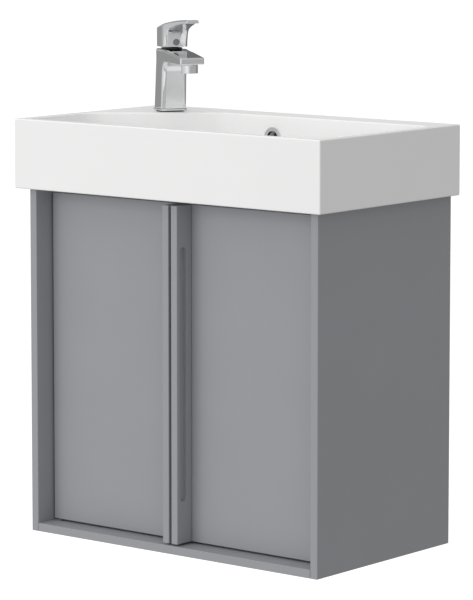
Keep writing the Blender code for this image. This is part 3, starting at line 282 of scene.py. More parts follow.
grey_lacquer = finish(
    "grey_lacquer", (0.327, 0.332, 0.350), 0.42, spread=0.012, patches=9.0, grain=1100.0,
    depth=0.000025, smudge=0.05, smudges=16.0, arris=(0.42, 0.425, 0.44), specular=0.35,
)
for board in (
    "left_side_panel", "right_side_panel", "bottom_panel", "front_rail", "upper_back_rail",
    "lower_back_rail", "shelf",
):
    dress(board, grey_lacquer, BOARD_EASE)


# ============ dust caps
# Moulded nylon discs pressed over the connecting screws inside the side panels: two at the front
# rail and two at each back rail, on each side.

CAP_RADIUS = 0.0065
CAP_CROWN = 0.0013
CAP_OFF_RAIL = 0.016
CAP_UNDER_RAIL = 0.020
SIDES = (("left", -1), ("right", 1))


def eased(corners, steps=4, closed=True):
    """Points along a line of (across, up, radius) corners, each rounded to its radius."""
    points = []
    last = len(corners) - 1
    for i, (x, y, radius) in enumerate(corners):
        here = Vector((x, y))
        if not closed and i in (0, last) or not radius:
            points.append((x, y))
            continue
        before = (here - Vector(corners[i - 1][:2])).normalized()
        after = (Vector(corners[(i + 1) % len(corners)][:2]) - here).normalized()
        turn = math.atan2(before.cross(after), before.dot(after))
        side = math.copysign(1.0, turn)
        start = here - before * radius * math.tan(abs(turn) / 2)
        centre = start + side * radius * Vector((-before.y, before.x))
        spoke = start - centre
        for k in range(steps + 1):
            angle = turn * k / steps
            points.append((
                centre.x + spoke.x * math.cos(angle) - spoke.y * math.sin(angle),
                centre.y + spoke.x * math.sin(angle) + spoke.y * math.cos(angle),
            ))
    return points


def turned(corners, sides=64, steps=4):
    """A body turned about Z from (radius, height, rounding) corners."""
    closed = corners[0][0] > 0
    shape = bmesh.new()
    rings = []
    for radius, height in eased(corners, steps, closed):
        if radius < 1e-6:
            rings.append([shape.verts.new((0, 0, height))])
            continue
        rings.append([
            shape.verts.new((
                radius * math.cos(math.tau * k / sides), radius * math.sin(math.tau * k / sides), height,
            ))
            for k in range(sides)
        ])
    pairs = list(zip(rings, rings[1:]))
    if closed:
        pairs.append((rings[-1], rings[0]))
    for near, far in pairs:
        for k in range(sides):
            after = (k + 1) % sides
            loop = [near[k % len(near)], near[after % len(near)], far[after % len(far)], far[k % len(far)]]
            shape.faces.new(list(dict.fromkeys(loop)))
    return shape


def whole(shape):
    """Turns every face outwards."""
    bmesh.ops.remove_doubles(shape, verts=shape.verts, dist=1e-7)
    bmesh.ops.recalc_face_normals(shape, faces=shape.faces)
    if shape.calc_volume(signed=True) < 0:
        bmesh.ops.reverse_faces(shape, faces=shape.faces)
    return shape


def put(name, shape, material, stands_for=(), place=None, crease=42, body="cabinet"):
    """Makes a piece from a shape, and fixes it to a body of the frame."""
    mesh = bpy.data.meshes.new(name)
    whole(shape).to_mesh(mesh)
    shape.free()
    mesh.materials.append(material)
    part = bpy.data.objects.new(name, mesh)
    scene.collection.objects.link(part)
    if place:
        part.matrix_world = place
    lay_flat(part, crease)
    bpy.context.view_layer.update()
    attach(part, body)
    if stands_for:
        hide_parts(*stands_for)
    return part


def turn_to(shape, direction, place=(0, 0, 0)):
    """Swings a shape made on +Z to a direction, and moves it to its place."""
    swing = Vector(direction).to_track_quat("Z", "Y").to_matrix().to_4x4()
    bmesh.ops.transform(shape, matrix=Matrix.Translation(place) @ swing, verts=shape.verts)
    return shape


def joined(shapes):
    """Several shapes gathered into one."""
    together = bmesh.new()
    for shape in shapes:
        mesh = bpy.data.meshes.new("gather")
        shape.to_mesh(mesh)
        shape.free()
        together.from_mesh(mesh)
        bpy.data.meshes.remove(mesh)
    return together


grey_nylon = finish(
    "grey_nylon", (0.46, 0.465, 0.475), 0.48, spread=0.03, patches=60.0, grain=2200.0, depth=0.00004,
    smudge=0.06, smudges=90.0, arris=(0.55, 0.555, 0.565), arris_width=0.0004,
)
for side, sign in SIDES:
    panel_low, panel_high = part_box(f"{side}_side_panel")
    inner_face = panel_high.x if sign < 0 else panel_low.x
    caps = []
    for rail in ("upper_back_rail", "lower_back_rail", "front_rail"):
        rail_low, rail_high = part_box(rail)
        middle = (rail_low + rail_high) / 2
        if rail == "front_rail":
            seats = [(middle.y + along, rail_low.z - CAP_UNDER_RAIL) for along in (-0.008, 0.010)]
        else:
            seats = [(rail_low.y - CAP_OFF_RAIL, middle.z + up) for up in (-0.016, 0.016)]
        for y, z in seats:
            cap = turned([
                (0, CAP_CROWN, 0), (CAP_RADIUS, 0.0009, 0.0004), (CAP_RADIUS, 0.0001, 0), (0, 0.0001, 0),
            ], 32)
            caps.append(turn_to(cap, (-sign, 0, 0), (inner_face, y, z)))
    put(f"{side}_dust_caps", joined(caps), grey_nylon)


# ============ shelf pins
# Four turned steel pins, zinc plated, pushed into the side panels. The shelf lies on their tongues.

PIN_COLLAR = 0.0007

zinc_plate = finish(
    "zinc_plate", (0.60, 0.61, 0.62), 0.34, spread=0.06, patches=120.0, grain=1500.0, depth=0.00002,
    metallic=1.0, smudge=0.09, smudges=70.0, stretch=(1, 1, 5), arris=(0.74, 0.75, 0.75),
    arris_width=0.0003,
)
for side, sign in SIDES:
    for where in ("front", "rear"):
        pin_node = f"{side}_{where}_shelf_pin"
        low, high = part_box(pin_node)
        radius = (high.z - low.z) / 2
        length = high.x - low.x
        pin = turned([
            (0, 0, 0), (radius - 0.0004, 0, 0.0002), (radius, 0.0006, 0.0004),
            (radius, length - 0.0084, 0.0002), (radius - PIN_COLLAR, length - 0.0080, 0.0002),
            (radius - PIN_COLLAR, length - 0.0072, 0.0002), (radius, length - 0.0068, 0.0002),
            (radius, length - 0.0006, 0.0004), (radius - 0.0004, length, 0.0002), (0, length, 0),
        ], 32)
        seat = Vector((low.x if sign < 0 else high.x, (low.y + high.y) / 2, (low.z + high.z) / 2))
        pin = turn_to(pin, (-sign, 0, 0), seat)
        put(f"{pin_node}_turned", pin, zinc_plate, (pin_node,))


# ============ doors
# Each door is a 16 mm lacquered panel with an upright grip board glued to its inner edge. A
# round-ended groove is routed in the grip board's outer face for the fingers.

for side in ("left", "right"):
    dress(f"{side}_door", grey_lacquer, BOARD_EASE)
    dress(f"{side}_grip_board", grey_lacquer, BOARD_EASE)


# ============ door pivots
# The doors turn on steel pins in nylon bushes. The pins stand on a plate screwed to the cabinet's
# floor and on an angle screwed to the side panel.

SCREW_HEAD = 0.0034
SCREW_RISE = 0.0011
SCREW_SPIN = 0.7
PIVOT_PLATE = 0.002


def block(low, high, ease=0.0, segments=3):
    """A box between two corners with its edges rounded over."""
    shape = bmesh.new()
    bmesh.ops.create_cube(shape, size=1.0)
    low = Vector(low)
    high = Vector(high)
    bmesh.ops.scale(shape, vec=high - low, verts=shape.verts)
    bmesh.ops.translate(shape, vec=(low + high) / 2, verts=shape.verts)
    if ease:
        bmesh.ops.bevel(
            shape, geom=shape.edges[:], offset=ease, segments=segments, profile=0.5, affect="EDGES"
        )
    return shape


def carve(shape, tool, how="DIFFERENCE"):
    """Cuts one shape from another, or joins it on."""
    pair = []
    for name, form in (("work", shape), ("tool", tool)):
        mesh = bpy.data.meshes.new(name)
        whole(form).to_mesh(mesh)
        form.free()
        pair.append(bpy.data.objects.new(name, mesh))
        scene.collection.objects.link(pair[-1])
    work, cutter = pair
    boolean = work.modifiers.new("carve", "BOOLEAN")
    boolean.operation = how
    boolean.solver = "EXACT"
    boolean.object = cutter
    bpy.context.view_layer.update()
    done = bpy.data.meshes.new_from_object(work.evaluated_get(bpy.context.evaluated_depsgraph_get()))
    result = bmesh.new()
    result.from_mesh(done)
    for made in pair:
        old = made.data
        bpy.data.objects.remove(made)
        bpy.data.meshes.remove(old)
    bpy.data.meshes.remove(done)
    return result


def screws(name, seats, direction, head=SCREW_HEAD, rise=SCREW_RISE):
    """Zinc plated pan-head screws with cross recesses, in a row of seats."""
    profile = [(0, rise, 0), (head * 0.80, rise, rise * 0.8), (head, 0.0002, 0.0001), (0, 0.0002, 0)]
    made = turned(profile, 32)
    for along, across in ((head * 0.95, head * 0.20), (head * 0.20, head * 0.95)):
        slot = block((-along / 2, -across / 2, rise * 0.45), (along / 2, across / 2, rise * 2))
        made = carve(made, slot)
    pattern = bpy.data.meshes.new("screw")
    made.to_mesh(pattern)
    made.free()
    copies = []
    for turn, seat in enumerate(seats):
        copy = bmesh.new()
        copy.from_mesh(pattern)
        spin = Matrix.Rotation(SCREW_SPIN * turn, 4, "Z")
        bmesh.ops.transform(copy, matrix=spin, verts=copy.verts)
        copies.append(turn_to(copy, direction, seat))
    bpy.data.meshes.remove(pattern)
    put(name, joined(copies), zinc_plate)


for side, sign in SIDES:
    for where in ("lower", "upper"):
        dress(f"{side}_{where}_pivot", zinc_plate, 0.0003)
        dress(f"{side}_{where}_bush", grey_nylon, 0.0001)
    low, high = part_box(f"{side}_lower_pivot")
    plate_top = low.z + PIVOT_PLATE
    row_x = (low.x + high.x) / 2 + sign * 0.002
    seats = [(row_x, high.y - back, plate_top) for back in (0.006, 0.017)]
    screws(f"{side}_lower_pivot_screws", seats, (0, 0, 1))
    low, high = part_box(f"{side}_upper_pivot")
    tab_face = high.x - PIVOT_PLATE if sign > 0 else low.x + PIVOT_PLATE
    seats = [(tab_face, high.y - 0.007, low.z + up) for up in (0.008, 0.024)]
    screws(f"{side}_upper_pivot_screws", seats, (-sign, 0, 0))


# ============ catches
# A nylon catch with a magnet between two steel poles is screwed under the front rail behind each
# door's grip board, and the door carries a pressed steel strike.

CATCH_EAR = 0.011
CATCH_BASE = 0.0035
POLE_THICKNESS = 0.0022

for side in ("left", "right"):
    dress(f"{side}_strike_plate", zinc_plate, 0.0003)
    low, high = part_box(f"{side}_catch")
    case = block(low, high, 0.0012)
    for end in (low.x, high.x):
        inward = 1 if end == low.x else -1
        sides = sorted((end - inward * 0.01, end + inward * CATCH_EAR))
        notch = block(
            (sides[0], low.y - 0.01, low.z - 0.01), (sides[1], high.y + 0.01, high.z - CATCH_BASE), 0.0008
        )
        case = carve(case, notch)
    put(f"{side}_catch_case", case, grey_nylon, (f"{side}_catch",))
    poles = [
        block(
            (low.x + 0.012, low.y - 0.00015, low.z + up),
            (high.x - 0.012, low.y + 0.012, low.z + up + POLE_THICKNESS),
            0.0002, 1,
        )
        for up in (0.0030, 0.0082)
    ]
    put(f"{side}_catch_poles", joined(poles), zinc_plate)
    ears = (low.x + CATCH_EAR / 2, high.x - CATCH_EAR / 2)
    seats = [(x, (low.y + high.y) / 2, high.z - CATCH_BASE) for x in ears]
    screws(f"{side}_catch_screws", seats, (0, 0, -1))


# ============ wall hangers
# A nylon case in each back corner holds a steel hook, set up and down and in and out by two screws
# in its front. The hook's toe drops behind the lip of a pressed plate screwed to the wall.

ADJUSTER = 0.0042
RIBS = 5
RIB_PITCH = 0.008


def sleeve(inner, outer, low, high, inside=0.0, outside=0.0, sides=64):
    """A turned rod or tube of an even bore, its corners rounded inside and outside."""
    corners = [(inner, low, inside), (outer, low, outside), (outer, high, outside), (inner, high, inside)]
    return turned(corners, sides)


for side, sign in SIDES:
    low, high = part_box(f"{side}_hanger")
    middle_x = (low.x + high.x) / 2
    case = block(low, high, 0.0018)
    for rib in range(RIBS):
        level = low.z + 0.012 + RIB_PITCH * rib
        face = low.x if sign > 0 else high.x
        groove = block(
            (face - 0.0008, low.y + 0.010, level), (face + 0.0008, high.y - 0.006, level + 0.0022),
            0.0004, 2,
        )
        case = carve(case, groove)
    levels = (low.z + 0.016, high.z - 0.016)
    for level in levels:
        bore = sleeve(0, ADJUSTER + 0.0006, -0.003, 0.003, sides=32)
        case = carve(case, turn_to(bore, (0, -1, 0), (middle_x, low.y, level)))
    put(f"{side}_hanger_case", case, grey_nylon, (f"{side}_hanger",))
    seats = [(middle_x, low.y + 0.0028, level) for level in levels]
    screws(f"{side}_hanger_screws", seats, (0, -1, 0), ADJUSTER, 0.0022)
    dress(f"{side}_hook", zinc_plate, 0.0004)
    dress(f"{side}_wall_plate", zinc_plate, 0.0004)
    low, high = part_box(f"{side}_wall_plate")
    plate_front = high.y - 0.0025
    seats = [(x, plate_front, low.z + 0.014) for x in (low.x + 0.010, high.x - 0.010)]
    screws(f"{side}_wall_plate_screws", seats, (0, -1, 0), 0.0045, 0.0016)


# ============ basin
# One casting of white fireclay, glazed all over except its back and its hollow underside. It has a
# shallow bowl, a raised corner deck for the tap, a level ledge at the wall, and edges softened by
# the glaze. An overflow channel runs down behind the bowl and under its floor to the waste. Its
# inside is painted near black: painted shade for the dark channel.

basin_low, basin_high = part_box("basin")
BASIN_TOP = basin_high.z
BASIN_ROUND = 0.0022
RIM = 0.014
BACK_LEDGE = 0.057
DECK_ALONG_BACK = 0.182
DECK_ALONG_SIDE = 0.196
CORNER_ROUND = 0.022
DECK_ROUND = 0.055
LIP_ROUND = 0.0024
BOWL_DEPTH = 0.086
BOWL_FALL = 0.004
DRAFT = math.tan(math.radians(4))
FLOOR_ROUND = 0.020
SHELL = 0.010
DECK_SHELL = 0.014
FOOT = 0.033
BACK_SHELL = 0.012

waste_low, waste_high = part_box("waste_body")
WASTE_X = (waste_low.x + waste_high.x) / 2
WASTE_Y = (waste_low.y + waste_high.y) / 2
FLANGE_RADIUS = (waste_high.x - waste_low.x) / 2 + 0.001
WASTE_BORE = 0.0225
FLOOR_AT_WASTE = BASIN_TOP - BOWL_DEPTH - BOWL_FALL

BOWL_CORNERS = (
    (basin_low.x + RIM, basin_low.y + RIM, CORNER_ROUND),
    (basin_high.x - RIM, basin_low.y + RIM, CORNER_ROUND),
    (basin_high.x - RIM, basin_high.y - BACK_LEDGE, CORNER_ROUND),
    (basin_low.x + DECK_ALONG_BACK, basin_high.y - BACK_LEDGE, DECK_ROUND),
    (basin_low.x + RIM, basin_high.y - DECK_ALONG_SIDE, DECK_ROUND),
)


def bowl_line(inset, depth, steps=10, pitch=0.012):
    """A line round the bowl at a depth, moved in from its mouth."""
    points = []
    count = len(BOWL_CORNERS)
    for i, (x, y, radius) in enumerate(BOWL_CORNERS):
        here = Vector((x, y))
        ahead = Vector(BOWL_CORNERS[(i + 1) % count][:2])
        before = (here - Vector(BOWL_CORNERS[i - 1][:2])).normalized()
        after = (ahead - here).normalized()
        inward = [Vector((-d.y, d.x)) for d in (before, after)]
        turn = math.atan2(before.cross(after), before.dot(after))
        bend = max(radius - inset, 0.0003)
        centre = here + (inset + bend) * (inward[0] + inward[1]) / (1 + inward[0].dot(inward[1]))
        start = math.atan2(-inward[0].y, -inward[0].x)
        for k in range(steps + 1):
            angle = start + turn * k / steps
            points.append(Vector((centre.x + bend * math.cos(angle), centre.y + bend * math.sin(angle))))
    line = []
    for i, point in enumerate(points):
        line.append(point)
        if i % (steps + 1) == steps:
            corner = i // (steps + 1)
            far = points[(i + 1) % len(points)]
            side = Vector(BOWL_CORNERS[corner][:2]) - Vector(BOWL_CORNERS[(corner + 1) % count][:2])
            parts = max(int(side.length / pitch), 1)
            line += [point.lerp(far, k / parts) for k in range(1, parts)]
    return [Vector((point.x, point.y, BASIN_TOP - depth)) for point in line]


def skin(rings):
    """A body skinned over rings of as many points each, closed at both ends."""
    shape = bmesh.new()
    loops = [[shape.verts.new(point) for point in ring] for ring in rings]
    count = len(loops[0])
    for near, far in zip(loops, loops[1:]):
        for k in range(count):
            after = (k + 1) % count
            shape.faces.new((near[k], near[after], far[after], far[k]))
    shape.faces.new(loops[0])
    shape.faces.new(loops[-1])
    return shape


def bowl_floor(edge, seat, fall, parts=9):
    """Rings over the floor, from the foot of the walls to a round seat at the waste."""
    rings = []
    for k in range(1, parts + 1):
        share = k / parts
        ring = []
        for point in edge:
            spoke = Vector((point.x - WASTE_X, point.y - WASTE_Y))
            near = spoke.normalized() * seat
            flat = spoke.lerp(near, share)
            drop = fall * (1 - (1 - share) ** 2) if share < 1 else fall
            ring.append(Vector((WASTE_X + flat.x, WASTE_Y + flat.y, point.z - drop)))
        rings.append(ring)
    return rings


def bowl_space():
    """The space that the bowl, its waste seat and the bore under it take out of the casting."""
    rings = [bowl_line(-LIP_ROUND - 0.0002, -0.006)]
    for angle in (84, 66, 48, 30, 15, 0):
        turn = math.radians(angle)
        rings.append(bowl_line(LIP_ROUND * (math.cos(turn) - 1), LIP_ROUND * (1 - math.sin(turn))))
    wall_end = BOWL_DEPTH - FLOOR_ROUND
    for depth in (0.020, 0.043, wall_end):
        rings.append(bowl_line(DRAFT * depth, depth))
    for k in range(1, 9):
        turn = math.radians(90 * k / 8)
        rings.append(bowl_line(
            DRAFT * wall_end + FLOOR_ROUND * (1 - math.cos(turn)), wall_end + FLOOR_ROUND * math.sin(turn),
        ))
    rings += bowl_floor(rings[-1], FLANGE_RADIUS + 0.0008, BOWL_FALL)
    for radius, height in (
        (FLANGE_RADIUS + 0.0002, FLOOR_AT_WASTE - 0.0004), (FLANGE_RADIUS, FLOOR_AT_WASTE - 0.0010),
        (FLANGE_RADIUS, FLOOR_AT_WASTE - 0.0026), (WASTE_BORE, FLOOR_AT_WASTE - 0.0026),
        (WASTE_BORE, basin_low.z - 0.010),
    ):
        ring = []
        for point in rings[-1]:
            spoke = Vector((point.x - WASTE_X, point.y - WASTE_Y)).normalized() * radius
            ring.append(Vector((WASTE_X + spoke.x, WASTE_Y + spoke.y, height)))
        rings.append(ring)
    return skin(rings)


def bowl_back():
    """The outer side of the bowl's shell, seen from the hollow underside."""
    rings = [bowl_line(-SHELL, 0.0), bowl_line(DRAFT * 0.066 - SHELL, 0.066)]
    for k in range(1, 6):
        turn = math.radians(90 * k / 5)
        reach = FLOOR_ROUND + SHELL
        rings.append(bowl_line(
            DRAFT * 0.066 - SHELL + reach * (1 - math.cos(turn)), 0.066 + reach * math.sin(turn),
        ))
    return skin(rings + bowl_floor(rings[-1], FLANGE_RADIUS, BOWL_FALL, 3))


def post(x, y, radius, low, high, sides=64):
    """An upright round body."""
    shape = sleeve(0, radius, low, high, sides=sides)
    bmesh.ops.translate(shape, vec=(x, y, 0), verts=shape.verts)
    return shape


OVERFLOW_DROP = 0.034
OVERFLOW_BORE = 0.012
CHANNEL = 0.020
CHANNEL_DEEP = 0.007
CHANNEL_SHELL = 0.005
overflow = Vector((
    WASTE_X, basin_high.y - BACK_LEDGE - DRAFT * OVERFLOW_DROP, BASIN_TOP - OVERFLOW_DROP,
))
overflow_tilt = Matrix.Rotation(math.radians(-4), 4, "X")
shaft_front = overflow.y + SHELL
shaft_back = shaft_front + 2 * CHANNEL_DEEP
run_low = basin_low.z + CHANNEL_SHELL
channel_boxes = (
    (Vector((WASTE_X - CHANNEL / 2, shaft_front, run_low)),
     Vector((WASTE_X + CHANNEL / 2, shaft_back, overflow.z + OVERFLOW_BORE))),
    (Vector((WASTE_X - CHANNEL / 2, WASTE_Y, run_low)),
     Vector((WASTE_X + CHANNEL / 2, shaft_back, run_low + CHANNEL_DEEP))),
)

tap_low, tap_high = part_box("tap_base_plate")
TAP_PLACE = Vector(((tap_low.x + tap_high.x) / 2, (tap_low.y + tap_high.y) / 2, BASIN_TOP))

hollow = block(
    (basin_low.x + FOOT, basin_low.y + FOOT, basin_low.z - 0.010),
    (basin_high.x - FOOT, basin_high.y - BACK_SHELL, BASIN_TOP - DECK_SHELL),
    0.004,
)
hollow = carve(hollow, bowl_back())
boss = post(WASTE_X, WASTE_Y, FLANGE_RADIUS + 0.002, basin_low.z + 0.001, FLOOR_AT_WASTE + 0.002)
hollow = carve(hollow, boss)
grow = Vector((CHANNEL_SHELL, CHANNEL_SHELL, CHANNEL_SHELL - 0.001))
(shaft_low, shaft_high), (tunnel_low, tunnel_high) = channel_boxes
hollow = carve(hollow, block(shaft_low - grow, shaft_high + grow))
tunnel_top = Vector((
    tunnel_high.x + CHANNEL_SHELL, tunnel_high.y + CHANNEL_SHELL, BASIN_TOP - BOWL_DEPTH + 0.0003,
))
hollow = carve(hollow, block(tunnel_low - grow, tunnel_top))
casting = carve(block(basin_low, basin_high, BASIN_ROUND, 5), hollow)
casting = carve(casting, bowl_space())
for low, high in channel_boxes:
    casting = carve(casting, block(low, high))
mouth = turn_to(sleeve(0, OVERFLOW_BORE, -0.018, 0.018, sides=48), (0, 1, 0))
bmesh.ops.transform(mouth, matrix=Matrix.Translation(overflow) @ overflow_tilt, verts=mouth.verts)
casting = carve(casting, mouth)
casting = carve(casting, post(TAP_PLACE.x, TAP_PLACE.y, 0.0175, BASIN_TOP - 0.03, BASIN_TOP + 0.01))

white_glaze = finish(
    "white_glaze", (0.88, 0.88, 0.877), 0.12, spread=0.006, patches=7.0, grain=26.0, depth=0.00018,
    smudge=0.03, smudges=18.0, specular=0.32,
)
basin = put("basin_casting", casting, white_glaze, ("basin",), crease=35)
# Painted shade: the faces inside the overflow channel get a near-black colour standing for the shade deep
# in the channel.
channel_painted_shade = finish(
    "channel_painted_shade", (0.055, 0.051, 0.047), 0.8, spread=0.12, patches=60.0, grain=900.0, depth=0.0002,
)
basin.data.materials.append(channel_painted_shade)
# Faces inside the channel boxes take the painted shade.
for face in basin.data.polygons:
    for low, high in channel_boxes:
        if all(low[k] - 0.0001 <= face.center[k] <= high[k] + 0.0001 for k in range(3)):
            face.material_index = 1


# ============ overflow ring
# A pressed brass ring, chromed, pushed into the overflow. Its flange lies on the bowl's back wall.

polished_chrome = finish(
    "polished_chrome", (0.80, 0.805, 0.815), 0.07, spread=0.015, patches=40.0, grain=260.0,
    depth=0.000012, metallic=1.0, smudge=0.03, smudges=45.0,
)


def chromed(name, shape, cad_piece, place, body="cabinet", crease=42):
    """Puts a chromed piece in the place of its CAD piece."""
    put(name, shape, polished_chrome, (cad_piece,), place, crease, body)


ring = turned([
    (0.01025, -0.0016, 0.0006), (0.0160, -0.0016, 0.0007), (0.0160, -0.0002, 0.0002),
    (0.0117, -0.0001, 0.0001), (0.0117, 0.0050, 0.0002), (0.01025, 0.0050, 0.0002),
], 64)
turn_to(ring, (0, 1, 0))
at_overflow = Matrix.Translation(overflow - Vector((0, 0.0003, 0))) @ overflow_tilt
chromed("overflow_trim", ring, "overflow_ring", at_overflow)


# ============ waste
# A slotted brass waste, chromed where it shows. Its flange sits in the bowl's floor over a rubber
# washer and a brass nut from below, and a push plug with a domed cap stands open in it.

TUBE = 0.021
TUBE_BORE = 0.019
GAP = 0.0003
seat_z = waste_high.z - 0.0025
waste = turned([
    (TUBE_BORE, waste_low.z, 0.0003), (TUBE, waste_low.z, 0.0003), (TUBE, seat_z, 0.0003),
    (FLANGE_RADIUS - 0.001, seat_z, 0.0003), (FLANGE_RADIUS - 0.0012, waste_high.z, 0.0010),
    (TUBE_BORE + 0.0032, waste_high.z, 0.0010), (TUBE_BORE, seat_z - 0.0004, 0.0008),
], 96)
bridge = block((-0.0195, -0.005, seat_z - 0.023), (0.0195, 0.005, seat_z - 0.018), 0.0008, 2)
waste = carve(waste, bridge, "UNION")
waste = carve(waste, post(0, 0, 0.00405, seat_z - 0.030, seat_z - 0.010, 32))
slot = block((-0.006, 0, run_low + 0.0005), (0.006, 0.03, run_low + 0.0065), 0.0008, 2)
waste = carve(waste, slot)
at_waste = Matrix.Translation((WASTE_X, WASTE_Y, 0))
chromed("waste_tube", waste, "waste_body", at_waste)

black_rubber = finish(
    "black_rubber", (0.028, 0.028, 0.029), 0.72, spread=0.15, patches=150.0, grain=1800.0,
    depth=0.00005, smudge=0.08, smudges=110.0, specular=0.4,
)
yellow_brass = finish(
    "yellow_brass", (0.66, 0.49, 0.23), 0.32, spread=0.07, patches=90.0, grain=1200.0, depth=0.00004,
    metallic=1.0, smudge=0.08, smudges=60.0, stretch=(1, 1, 6), arris=(0.82, 0.66, 0.36),
    arris_width=0.0004,
)
low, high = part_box("waste_gasket")
washer = sleeve(TUBE + GAP, (high.x - low.x) / 2, low.z, high.z, 0.0005, 0.0009)
put("waste_washer", washer, black_rubber, ("waste_gasket",), at_waste)


def lobed(shape, count, depth, low, high, inside):
    """Presses upright grips into the outer side of a turned nut."""
    for vert in shape.verts:
        radius = math.hypot(vert.co.x, vert.co.y)
        if radius > inside and low < vert.co.z < high:
            angle = math.atan2(vert.co.y, vert.co.x) * count
            shrink = 1 - depth / radius * max(math.cos(angle), 0.0) ** 2
            vert.co.x *= shrink
            vert.co.y *= shrink
    return shape


low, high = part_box("waste_nut")
nut_radius = (high.x - low.x) / 2
nut = turned([
    (TUBE + GAP, low.z, 0.0003), (nut_radius - 0.003, low.z, 0.0006),
    (nut_radius, low.z + 0.0025, 0.0008), (nut_radius, high.z, 0.0008), (TUBE + GAP, high.z, 0.0003),
], 144)
lobed(nut, 8, 0.0016, low.z - 1, high.z + 1, nut_radius - 0.004)
put("waste_back_nut", nut, yellow_brass, ("waste_nut",), at_waste)

low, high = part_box("waste_plug")
cap = (high.x - low.x) / 2
cap_top = high.z - 0.0008
cap_low = cap_top - 0.004
plug = turned([
    (0, low.z, 0), (0.004, low.z, 0.0006), (0.004, cap_low, 0.0010),
    (TUBE_BORE - 0.001, cap_low, 0.0004), (cap, cap_low + 0.001, 0.0006),
    (cap, cap_top - 0.0008, 0.0012), (cap * 0.55, high.z - 0.0001, 0.0040), (0, high.z, 0),
], 96, 6)
chromed("waste_cap", plug, "waste_plug", at_waste, "plug")


# ============ trap
# A chromed brass bottle trap. A nut with grips holds it to the waste, its cup unscrews for cleaning,
# and a straight outlet pipe runs level into the wall through a pressed rosette.

head_low, head_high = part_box("trap_head")
pipe_low, pipe_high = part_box("outlet_pipe")
outlet_z = (pipe_low.z + pipe_high.z) / 2
pipe_radius = (pipe_high.z - pipe_low.z) / 2
BOTTLE = (head_high.x - head_low.x) / 2
INLET = 0.016
INLET_BORE = 0.0142

head = turned([
    (INLET_BORE, outlet_z, 0.001), (BOTTLE - 0.003, head_low.z, 0.0005), (BOTTLE, head_low.z, 0.0012),
    (BOTTLE, outlet_z + 0.015, 0.0050), (INLET + 0.003, outlet_z + 0.0212, 0.0040),
    (INLET, outlet_z + 0.026, 0.0030), (INLET, head_high.z, 0.0004), (INLET_BORE, head_high.z, 0.0004),
], 96, 6)
spigot = turned([
    (0, BOTTLE * 0.6, 0), (pipe_radius, BOTTLE * 0.6, 0), (pipe_radius, BOTTLE + 0.0118, 0.0006),
    (0, BOTTLE + 0.0118, 0),
], 64)
head = carve(head, turn_to(spigot, (0, 1, 0), (0, 0, outlet_z)), "UNION")
bore = sleeve(0, INLET_BORE - 0.002, BOTTLE * 0.35, BOTTLE + 0.03, sides=48)
head = carve(head, turn_to(bore, (0, 1, 0), (0, 0, outlet_z)))
chromed("trap_bottle_head", head, "trap_head", at_waste)

low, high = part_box("trap_cup")
cup = turned([
    (0, low.z, 0), (BOTTLE - 0.010, low.z, 0.0030), (BOTTLE - 0.001, low.z + 0.009, 0.0090),
    (BOTTLE - 0.001, high.z - 0.014, 0.0006), (BOTTLE, high.z - 0.0132, 0.0006),
    (BOTTLE, high.z, 0.0008), (BOTTLE - 0.0025, high.z, 0.0004),
    (BOTTLE - 0.0025, low.z + 0.010, 0.0060), (BOTTLE - 0.011, low.z + 0.0025, 0.0020),
    (0, low.z + 0.0025, 0),
], 144, 6)
lobed(cup, 24, 0.0007, high.z - 0.0126, high.z - 0.0012, BOTTLE - 0.0009)
chromed("trap_bottle_cup", cup, "trap_cup", at_waste)

low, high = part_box("trap_inlet_nut")
collar = (high.x - low.x) / 2
step = head_high.z
nut = turned([
    (INLET + GAP, low.z, 0.0003), (0.019, low.z, 0.0012), (collar, step, 0.0020),
    (collar, high.z, 0.0012), (TUBE + GAP, high.z, 0.0003), (TUBE + GAP, step + 0.0003, 0.0003),
    (INLET + GAP, step - 0.004, 0.0003),
], 144)
lobed(nut, 12, 0.0012, step + 0.0006, high.z - 0.0006, TUBE + 0.002)
chromed("trap_union_nut", nut, "trap_inlet_nut", at_waste)

to_wall = Vector((0, 1, 0)).to_track_quat("Z", "Y").to_matrix().to_4x4()
at_outlet = Matrix.Translation((WASTE_X, 0, outlet_z)) @ to_wall
pipe = turned([
    (INLET_BORE, pipe_low.y, 0.0003), (pipe_radius, pipe_low.y, 0.0004),
    (pipe_radius, pipe_high.y, 0.0004), (INLET_BORE, pipe_high.y, 0.0003),
], 64)
chromed("outlet_tube", pipe, "outlet_pipe", at_outlet)
low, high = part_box("outlet_nut")
nut_radius = (high.z - low.z) / 2
nut = turned([
    (pipe_radius + GAP, low.y, 0.0003), (nut_radius, low.y, 0.0015),
    (nut_radius, high.y - 0.005, 0.0010), (pipe_radius + 0.0026, high.y, 0.0010),
    (pipe_radius + GAP, high.y, 0.0003),
], 144)
lobed(nut, 12, 0.0012, low.y + 0.001, high.y - 0.005, pipe_radius + 0.003)
chromed("outlet_union_nut", nut, "outlet_nut", at_outlet)
low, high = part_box("wall_rosette")
rim = (high.z - low.z) / 2
rosette = turned([
    (pipe_radius + GAP, low.y, 0.0003), (pipe_radius + 0.003, low.y, 0.0012),
    (pipe_radius + 0.0045, low.y + 0.0035, 0.0030), (rim - 0.003, high.y - 0.0028, 0.0060),
    (rim, high.y - 0.0010, 0.0005), (rim, high.y, 0.0002), (pipe_radius + GAP, high.y, 0.0003),
], 96, 6)
chromed("wall_cover_rose", rosette, "wall_rosette", at_outlet)


# ============ tap body
# The mixer's body is one chromed brass casting: a square column whose upright edges are well
# rounded, running by a wide fillet into a flat spout that falls a little towards its end.

